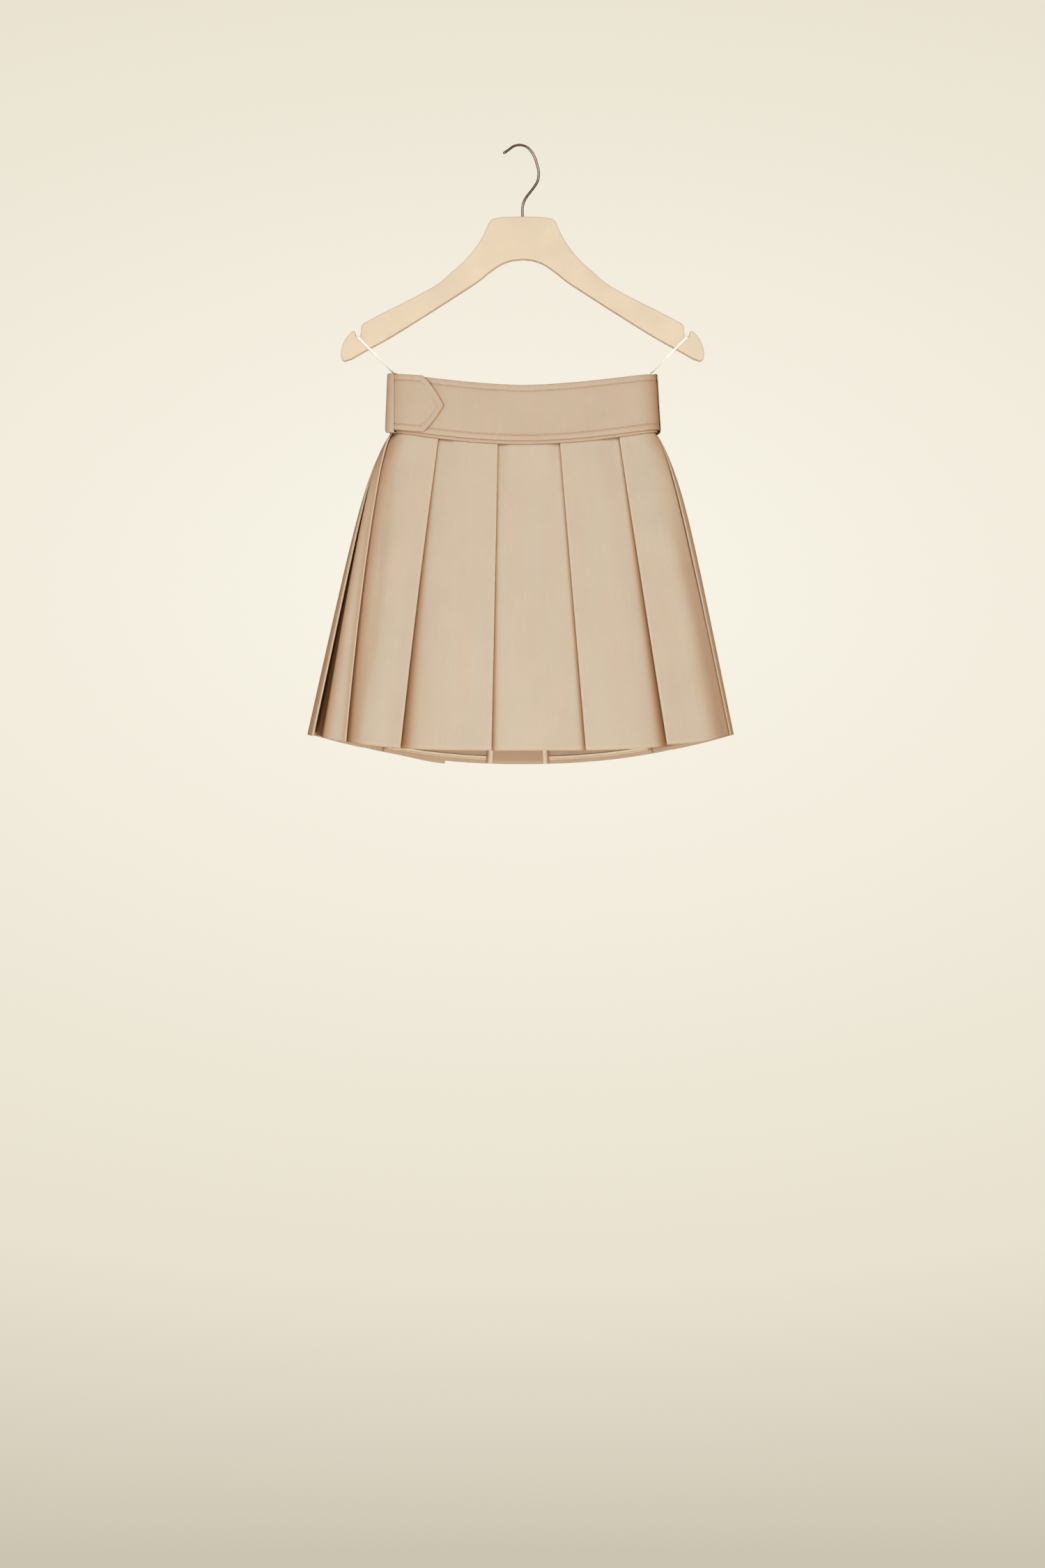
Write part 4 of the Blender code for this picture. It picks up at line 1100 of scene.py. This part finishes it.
def waistband():
    pieces, rows = [], []
    quarter = LOW_BAND.length / 4
    for name, node_name, start, end in (
        ("band_front_cloth", "waistband_front", -quarter, quarter),
        ("band_back_cloth", "waistband_back", quarter, 3 * quarter),
    ):
        offset = np.linspace(start + SEAM_GAP / 2, end - SEAM_GAP / 2, 190)
        full = band_height(offset, BAND_EDGES)[:, None]
        low = np.repeat(BAND_INSETS_LOW[None], len(offset), axis=0)
        height = np.concatenate([low, full - BAND_INSETS_HIGH[None]], axis=1)
        across = np.repeat(offset[:, None], height.shape[1], axis=1)
        depth = np.minimum(height, full - height)
        body = (BAND_WALL / 2 - 0.05 * MM) * rounding(depth, 0.8 * MM)
        groove = 0.28 * MM * hill(height - BAND_ROW, 0.5 * MM)
        outer, _ = band_points(across, height / full, BAND_OUT + body - groove, BAND_EDGES)
        inner, _ = band_points(across, height / full, BAND_OUT - body, BAND_EDGES)
        # row: the stitch row's groove and both rims, darkened with painted shade.
        row = 0.3 * (hill(height - BAND_ROW, 0.35 * MM) + hill(depth, 0.6 * MM))
        uv = grid_uv(across, height)
        pieces.append(closed_strip(
            name, outer, inner, uv, 0.3, {"row": row}, [node_name], belt_cloth,
        ))
        fine = np.linspace(start + 1 * MM, end - 1 * MM, 1500)
        share = BAND_ROW / band_height(fine, BAND_EDGES)
        points, _ = band_points(fine, share, BAND_OUT + BAND_WALL / 2 - 0.26 * MM, BAND_EDGES)
        rows.append((points, outward_at(fine, 0.0, 0.0, BAND_EDGES), 0.0))
    return pieces, rows


(band_front, band_back), band_rows = waistband()
belt_thread = stitch_piece("belt_stitches", belt_stitch_rows(), BELT_PITCH)
band_thread = stitch_piece("band_stitches", band_rows, BAND_PITCH)


def corner_cut(points, rounds=3):
    """A line with its corners cut, again and again, ends kept."""
    points = np.asarray(points, float)
    for _ in range(rounds):
        a, b = points[:-1], points[1:]
        cut = np.stack([0.75 * a + 0.25 * b, 0.25 * a + 0.75 * b], axis=1).reshape(-1, points.shape[1])
        points = np.concatenate([points[:1], cut, points[-1:]])
    return points


def loop_route(outermost):
    """A belt loop's line from under the belt round its front to its top: share of height, out, beyond."""
    top, bottom = LOOP_WALL / 2 + SEAM_GAP, -LOOP_OVERHANG
    return corner_cut([
        (0.0, BELT_OUT - BELT_WALL / 2 + 0.4 * MM, bottom),
        (0.0, outermost - 1.5 * MM, bottom),
        (0.0, outermost, bottom + 1.5 * MM),
        (0.10, outermost + 0.15 * MM, 0.0),
        (0.5, outermost + 0.1 * MM, 0.0),
        (0.93, outermost, 0.0),
        (1.0, outermost, top - 0.5 * MM),
        (1.0, outermost - 0.5 * MM, top),
        (1.0, BAND_OUT, top),
    ])


def belt_loops():
    made = []
    half = LOOP_WIDTH / 2
    rim = np.array((0, 0.08, 0.25, 0.5, 0.9, 1.3, 1.7, 2.3, 3.6)) * MM
    across = np.concatenate([rim - half, [0.0], (half - rim)[::-1]])
    depth = half - np.abs(across)
    body = 0.48 * MM * rounding(depth, 0.5 * MM)
    swell = 0.16 * MM * (smooth(depth / (3 * MM)) - hill(depth - LOOP_ROW, 0.45 * MM))
    for name, node_name, outermost in (
        ("loop_left_cloth", "belt_loop_left", LOOP_OUT),
        ("loop_right_cloth", "belt_loop_right", LOOP_OUT_SINGLE),
    ):
        place = LOOP_PLACES[node_name]
        centre = []
        for share, out, beyond in loop_route(outermost):
            points, _ = band_points(place + across, share, out, BELT_EDGES)
            points[:, 2] += beyond
            centre.append(points)
        centre = np.array(centre)
        normal = np.cross(np.gradient(centre, axis=1), np.gradient(centre, axis=0))
        normal /= np.maximum(1e-12, np.linalg.norm(normal, axis=-1, keepdims=True))
        middle = normal[len(normal) // 2, len(across) // 2]
        if float(np.dot(middle, outward_at(place, 0.5, LOOP_OUT, BELT_EDGES))) < 0:
            normal = -normal
        outer = centre + normal * (body + swell)[None, :, None]
        inner = centre - normal * body[None, :, None]
        along = arc_line(centre[:, len(across) // 2])
        uv = grid_uv(across[None, :] + place, along[:, None])
        marks = row_marks(0.6 * hill(depth - LOOP_ROW, 0.4 * MM), len(centre))
        made.append(closed_strip(name, outer, inner, uv, 0.1, marks, [node_name], loop_cloth_painted_light))
    return made


loop_left, loop_right = belt_loops()


def tape(name, node_name, centre, outward, width, row_at):
    """A flat tape: centre points by column and row, with a rounded rim and a stitched row."""
    rim = np.minimum(width, width[-1] - width)
    body = (0.36 * MM * rounding(rim, 0.5 * MM))[None, :, None]
    uv = grid_uv(arc_line(centre[:, 0])[:, None], width[None, :])
    marks = row_marks(hill(width - row_at, 0.5 * MM), len(centre))
    outer, inner = centre - outward * body, centre + outward * body
    return closed_strip(name, outer, inner, uv, 0.05, marks, [node_name], tape_cloth)


def bindings():
    made = []
    middle = UNDER - SKIRT_WALL / 2 - SEAM_GAP - TAPE_WALL / 2
    width = np.array((0, 0.1, 0.3, 0.6, 1.2, 2.75, 4.3, 4.9, 5.2, 5.4, 5.5)) * MM
    for name, node_name, side, row_at in (
        ("binding_left_tape", "seam_binding_left", 1, 1.2 * MM),
        ("binding_right_tape", "seam_binding_right", -1, 4.3 * MM),
    ):
        centre, outward = [], []
        for level in np.linspace(1, 0, 80):
            section = skirt_section(float(level))
            edge = back_shift(level) + side * underlay_half(level)
            places = edge - side * BINDING_WIDTH * width / width[-1]
            centre.append(skirt_points(section, level, places, middle))
            outward.append(skirt_points(section, level, places, middle + 1 * MM) - centre[-1])
        centre, outward = np.array(centre), unit(np.array(outward))
        if side < 0:
            centre, outward = centre[:, ::-1], outward[:, ::-1]
        made.append(tape(name, node_name, centre, outward, width, row_at))
    return made


def hem_tapes():
    made, rows = [], []
    inwards = SKIRT_WALL / 2 + SEAM_GAP + TAPE_WALL / 2
    width = np.array((0, 0.1, 0.3, 0.6, 1.1, 2.3, 3.5, 4.0, 4.3, 4.5, 4.6)) * MM
    for name, node_name, index, pleat_index, side in (
        ("hem_left_tape", "hem_tape_left", 0, 0, 1), ("hem_right_tape", "hem_tape_right", 11, 10, -1),
    ):
        lines = []
        for level in (0.9, 1.0):
            section = skirt_section(level)
            panel, pleat = Panel(index, section, level), PLEATS[pleat_index]
            edge = pleat_place(pleat, section, level)
            centre = back_shift(level) + (0.0 if side > 0 else section.length)
            start = centre + side * (underlay_half(level) + 1.5 * MM)
            places = np.concatenate([
                mix(start, edge, np.linspace(0, 0.86, 34)),
                edge + side * depth_of(pleat, level) * np.linspace(0, 0.96, 34),
            ])
            out = np.where((places - edge) * side >= 0, UNDER, panel.out(places)) - inwards
            lines.append(skirt_points(section, level, places, out))
            outward = unit(skirt_points(section, level, places, out + 1 * MM) - lines[-1])
        high, low = lines
        reach = np.linalg.norm(high - low, axis=1)
        stops = (HEM_TAPE_ABOVE_HEM + width)[None, :] / reach[:, None]
        centre = low[:, None] + (high - low)[:, None] * stops[..., None]
        outward = np.repeat(outward[:, None], len(width), axis=1)
        if side < 0:
            centre, outward = centre[::-1], outward[::-1]
        made.append(tape(name, node_name, centre, outward, width, 1.1 * MM))
        rows.append((centre[:, 4] - outward[:, 4] * 0.33 * MM, -outward[:, 4], 0.0))
    return made, rows


binding_left, binding_right = bindings()
(hem_left, hem_right), hem_rows = hem_tapes()
hem_thread = stitch_piece("hem_tape_stitches", hem_rows, TAPE_PITCH)


# Hanger, hook and ribbons
def curve_through(points, steps):
    points = [Vector(p) for p in points]
    points = [points[0] * 2 - points[1]] + points + [points[-1] * 2 - points[-2]]
    line = []
    for i in range(1, len(points) - 2):
        a, b, c, d = points[i - 1:i + 3]
        for k in range(steps):
            t = k / steps
            line.append(
                0.5 * (2 * b + (c - a) * t)
                + 0.5 * (2 * a - 5 * b + 4 * c - d) * t * t
                + 0.5 * (3 * b - a - 3 * c + d) * t ** 3
            )
    return line + [points[-2]]


def tube(name, line, radius, sides, nodes, material):
    """A round wire along a line, rounded at its start and closed flat at its end."""
    line = np.array([tuple(p) for p in line])
    run = np.gradient(line, axis=0)
    run /= np.linalg.norm(run, axis=1)[:, None]
    side = np.cross(run[0], (0.0, 0.0, 1.0))
    side /= np.linalg.norm(side)
    rings, uvs, along = [], [], arc_line(line)
    angles = 2 * math.pi * np.arange(sides) / sides

    def ring(centre, ahead, size, at):
        up = np.cross(ahead, side)
        rings.append(centre + size * (np.cos(angles)[:, None] * side + np.sin(angles)[:, None] * up))
        uvs.append(np.stack([angles * radius, np.full(sides, at)], axis=1))

    for turn in (0.0, 0.3, 0.6, 0.85):
        ring(line[0] - run[0] * radius * (math.cos(turn * math.pi / 2)), run[0],
             max(1e-5, radius * math.sin(turn * math.pi / 2)), 0.0)
    for centre, ahead, at in zip(line, run, along):
        side = side - ahead * np.dot(side, ahead)
        side /= np.linalg.norm(side)
        ring(centre, ahead, radius, at)
    faces = [face[::-1] for face in grid_faces(len(rings), sides, closed=True)]
    faces += [tuple(range(sides)), tuple(reversed(range((len(rings) - 1) * sides, len(rings) * sides)))]
    mesh = make_mesh(name, np.concatenate(rings), faces, np.concatenate(uvs))
    return finish_piece(name, mesh, nodes, material)


across_hook = Vector((math.cos(HOOK_TURN), math.sin(HOOK_TURN), 0))
hook_line = curve_through([across_hook * q * MM + Vector((0, 0, z * MM)) for q, z in HOOK_LINE], 9)
tube("hook_steel", hook_line, HOOK_WIRE / 2, 20, ["hanger_hook"], wire)


def hanger():
    half = []
    for part in (HANGER_UPPER, HANGER_NOTCH, HANGER_TIP, HANGER_LOWER):
        half += curve_through([(x, z, 0) for x, z in part], 5)
    outline = [Vector((0, NECK_TOP, 0))] + half + [Vector((0, NECK_ARCH, 0))]
    outline += [Vector((-p.x, p.y, 0)) for p in reversed(half)]
    curve = bpy.data.curves.new("hanger_outline", "CURVE")
    curve.dimensions = "2D"
    curve.fill_mode = "BOTH"
    edge = 1.7 * MM
    curve.extrude = HANGER_THICKNESS / 2 - edge
    curve.bevel_depth = edge
    curve.bevel_resolution = 4
    curve.offset = -edge
    spline = curve.splines.new("POLY")
    spline.use_cyclic_u = True
    spline.points.add(len(outline) - 1)
    for point, place in zip(spline.points, outline):
        point.co = (place.x * MM, place.y * MM, 0, 1)
    flat = bpy.data.objects.new("hanger_outline", curve)
    bpy.context.scene.collection.objects.link(flat)
    bpy.context.view_layer.update()
    mesh = bpy.data.meshes.new_from_object(flat.evaluated_get(bpy.context.evaluated_depsgraph_get()))
    bpy.data.objects.remove(flat)
    mesh.transform(Matrix.Rotation(math.pi / 2, 4, "X"))
    mesh.materials.clear()
    mesh.shade_smooth()
    piece = finish_piece("hanger_board", mesh, ["hanger"], board, sharp=32)
    weld = piece.modifiers.new("Weld", "WELD")
    weld.merge_threshold = 0.00001


hanger()


def ribbon(name, node_name, side):
    stops = [(s, -1) for s in RIBBON_ROUTE] + [(s, 1) for s in reversed(RIBBON_ROUTE)]
    centres, acrosses = [], []
    for stop, facing in stops:
        lean, twist = math.radians(stop.lean), math.radians(stop.twist)
        centres.append(Vector((side * stop.x, facing * stop.y, stop.z)) * MM)
        turned = Vector((side * math.cos(lean), 0, -math.sin(lean))) * math.cos(twist)
        acrosses.append(turned + Vector((0, -facing * math.sin(twist), 0)))
    centre = np.array([tuple(p) for p in curve_through(centres, 6)])
    across = unit(np.array([tuple(p) for p in curve_through(acrosses, 6)]))
    normal = unit(np.cross(across, np.gradient(centre, axis=0)))
    width = np.array((0, 0.05, 0.15, 0.35, 0.9, 1.5, 2.1, 2.65, 2.85, 2.95, 3.0)) * MM
    body = 0.2 * MM * rounding(np.minimum(width, width[-1] - width), 0.3 * MM)
    places = centre[:, None] + across[:, None] * (width - RIBBON_WIDTH / 2)[None, :, None]
    outer = places + normal[:, None] * body[None, :, None]
    inner = places - normal[:, None] * body[None, :, None]
    uv = grid_uv(arc_line(centre)[:, None], width[None, :])
    return closed_strip(name, outer, inner, uv, 0.02, {}, [node_name], satin)


ribbon_left = ribbon("ribbon_left_satin", "hanger_ribbon_left", -1)
ribbon_right = ribbon("ribbon_right_satin", "hanger_ribbon_right", 1)


# Room, light and camera
def studio():
    """A pale round floor that curves up into a pale wall and ceiling all round, far from the skirt; it glows
    with painted light.
    """
    profile = (
        (0.0, -2.6), (1.2, -2.6), (2.4, -2.6), (3.1, -2.57), (3.6, -2.42), (4.0, -2.1), (4.3, -1.5),
        (4.45, -0.6), (4.5, 0.4), (4.5, 1.6), (4.5, 3.2), (4.2, 4.2), (3.2, 4.9), (1.6, 5.15), (0.3, 5.2),
    )
    profile = [tuple(p)[:2] for p in curve_through([(r, z, 0) for r, z in profile], 4)]
    sides = 96
    points = [
        (r * math.cos(2 * math.pi * s / sides), r * math.sin(2 * math.pi * s / sides), z)
        for r, z in profile[1:] for s in range(sides)
    ]
    faces = [tuple(reversed(range(sides)))] + grid_faces(len(profile) - 1, sides, closed=True)
    faces.append(tuple(range(len(points) - sides, len(points))))
    mesh = make_mesh("studio", points, faces)
    room = bpy.data.objects.new("studio", mesh)
    bpy.context.scene.collection.objects.link(room)
    # No lamp: the surface glows with painted light, brightest on the wall a little below the hook straight
    # ahead and behind, dimmer away from there, and lights nothing else.
    material, tree, shader = new_material(
        "studio_paper_painted_light", Roughness=0.95, Specular_IOR_Level=0.0, Base_Color=(0.0, 0.0, 0.0),
        Emission_Strength=1.0,
    )
    x, y, z = split(tree, object_place(tree))
    inwards = maths(tree, "SUBTRACT", 4.45, length_of(tree, x, y))
    upwards = maths(tree, "ADD", z, 0.2)
    away = length_of(tree, inwards, upwards, maths(tree, "MULTIPLY", x, 0.6))
    near = veiled(tree, (0.94, 0.905, 0.79), away, 0.2, 1.9, 1.0, (0.815, 0.76, 0.635))
    glow = veiled(tree, near, away, 2.0, 2.8, 1.0, (0.60, 0.55, 0.43))
    set_inputs(tree, shader, Emission_Color=glow)
    mesh.materials.append(material)
    room.visible_diffuse = False
    room.visible_glossy = False
    room.visible_shadow = False


def soft_light(name, place, target, width, height, power, colour):
    data = bpy.data.lights.new(name, "AREA")
    data.shape = "RECTANGLE"
    data.size, data.size_y, data.energy, data.color = width, height, power, colour
    lamp = bpy.data.objects.new(name, data)
    bpy.context.scene.collection.objects.link(lamp)
    lamp.location = place
    lamp.rotation_euler = (Vector(target) - Vector(place)).to_track_quat("-Z", "Y").to_euler()
    lamp.visible_camera = False


studio()
DAYLIGHT = (0.94, 0.985, 1.04)
soft_light("key_top", (-0.1, -3.5, 1.2), (0, 0, -0.5), 2.0, 1.4, 49.5, DAYLIGHT)
soft_light("key_left", (-2.5, -3.1, 0.2), (0, 0, -0.5), 1.6, 2.0, 15.5, DAYLIGHT)
soft_light("key_right", (2.7, -2.9, 0.2), (0, 0, -0.5), 1.6, 2.0, 24.0, DAYLIGHT)
soft_light("left_side", (-4.0, -0.8, -0.3), (0, 0, -0.5), 1.8, 1.8, 14.0, DAYLIGHT)
soft_light("low_fill", (0.1, -3.5, -1.75), (0, 0, -0.6), 2.6, 1.2, 64.5, (0.96, 0.98, 1.0))
soft_light("floor_bounce", (0.0, -1.0, -1.93), (0.0, -1.0, 0.0), 3.0, 2.4, 19.0, (1.0, 0.95, 0.88))
soft_light("rim", (0.6, 3.0, 2.0), (0, 0, -0.4), 2.5, 1.5, 64.0, (1.0, 0.98, 0.96))
soft_light("back_key", (0.2, 3.4, -0.3), (0, 0, -0.5), 2.2, 1.8, 75.0, DAYLIGHT)
world = bpy.data.worlds.new("soft_room")
world.use_nodes = True
world.node_tree.nodes["Background"].inputs["Color"].default_value = (1.0, 0.67, 0.40, 1.0)
world.node_tree.nodes["Background"].inputs["Strength"].default_value = 0.35
bpy.context.scene.world = world
view = bpy.context.scene.view_settings
view.view_transform = "Standard"
view.look = "None"
# The photo's own grading: shadows deepen towards brown, lit cloth and paper stay as they are.
GRADING = (
    ((0.16, 0.085), (0.245, 0.16), (0.479, 0.470), (0.65, 0.65), (0.80, 0.80)),
    ((0.10, 0.035), (0.168, 0.085), (0.381, 0.318), (0.533, 0.533), (0.75, 0.75)),
    ((0.07, 0.016), (0.112, 0.042), (0.271, 0.198), (0.397, 0.397), (0.65, 0.65)),
)
view.use_curve_mapping = True
for curve, stops in zip(view.curve_mapping.curves, GRADING):
    for given, wanted in stops:
        curve.points.new(given, wanted)
view.curve_mapping.update()

# The photo is 2250 pixels of 0.85 mm tall, seen from this far in front of the hook.
SENSOR = 36.0
CAMERA_AWAY = 3.2
PHOTO_TALL = 1.9125
CAMERA_HEIGHT = -0.7772
camera = bpy.data.cameras.new("camera")
camera.sensor_width = SENSOR
camera.lens = SENSOR * CAMERA_AWAY / PHOTO_TALL
camera.clip_end = 50.0
eye = bpy.data.objects.new("camera", camera)
bpy.context.scene.collection.objects.link(eye)
eye.location = (0.0, -CAMERA_AWAY, CAMERA_HEIGHT)
eye.rotation_euler = (math.pi / 2, 0.0, 0.0)
bpy.context.scene.camera = eye
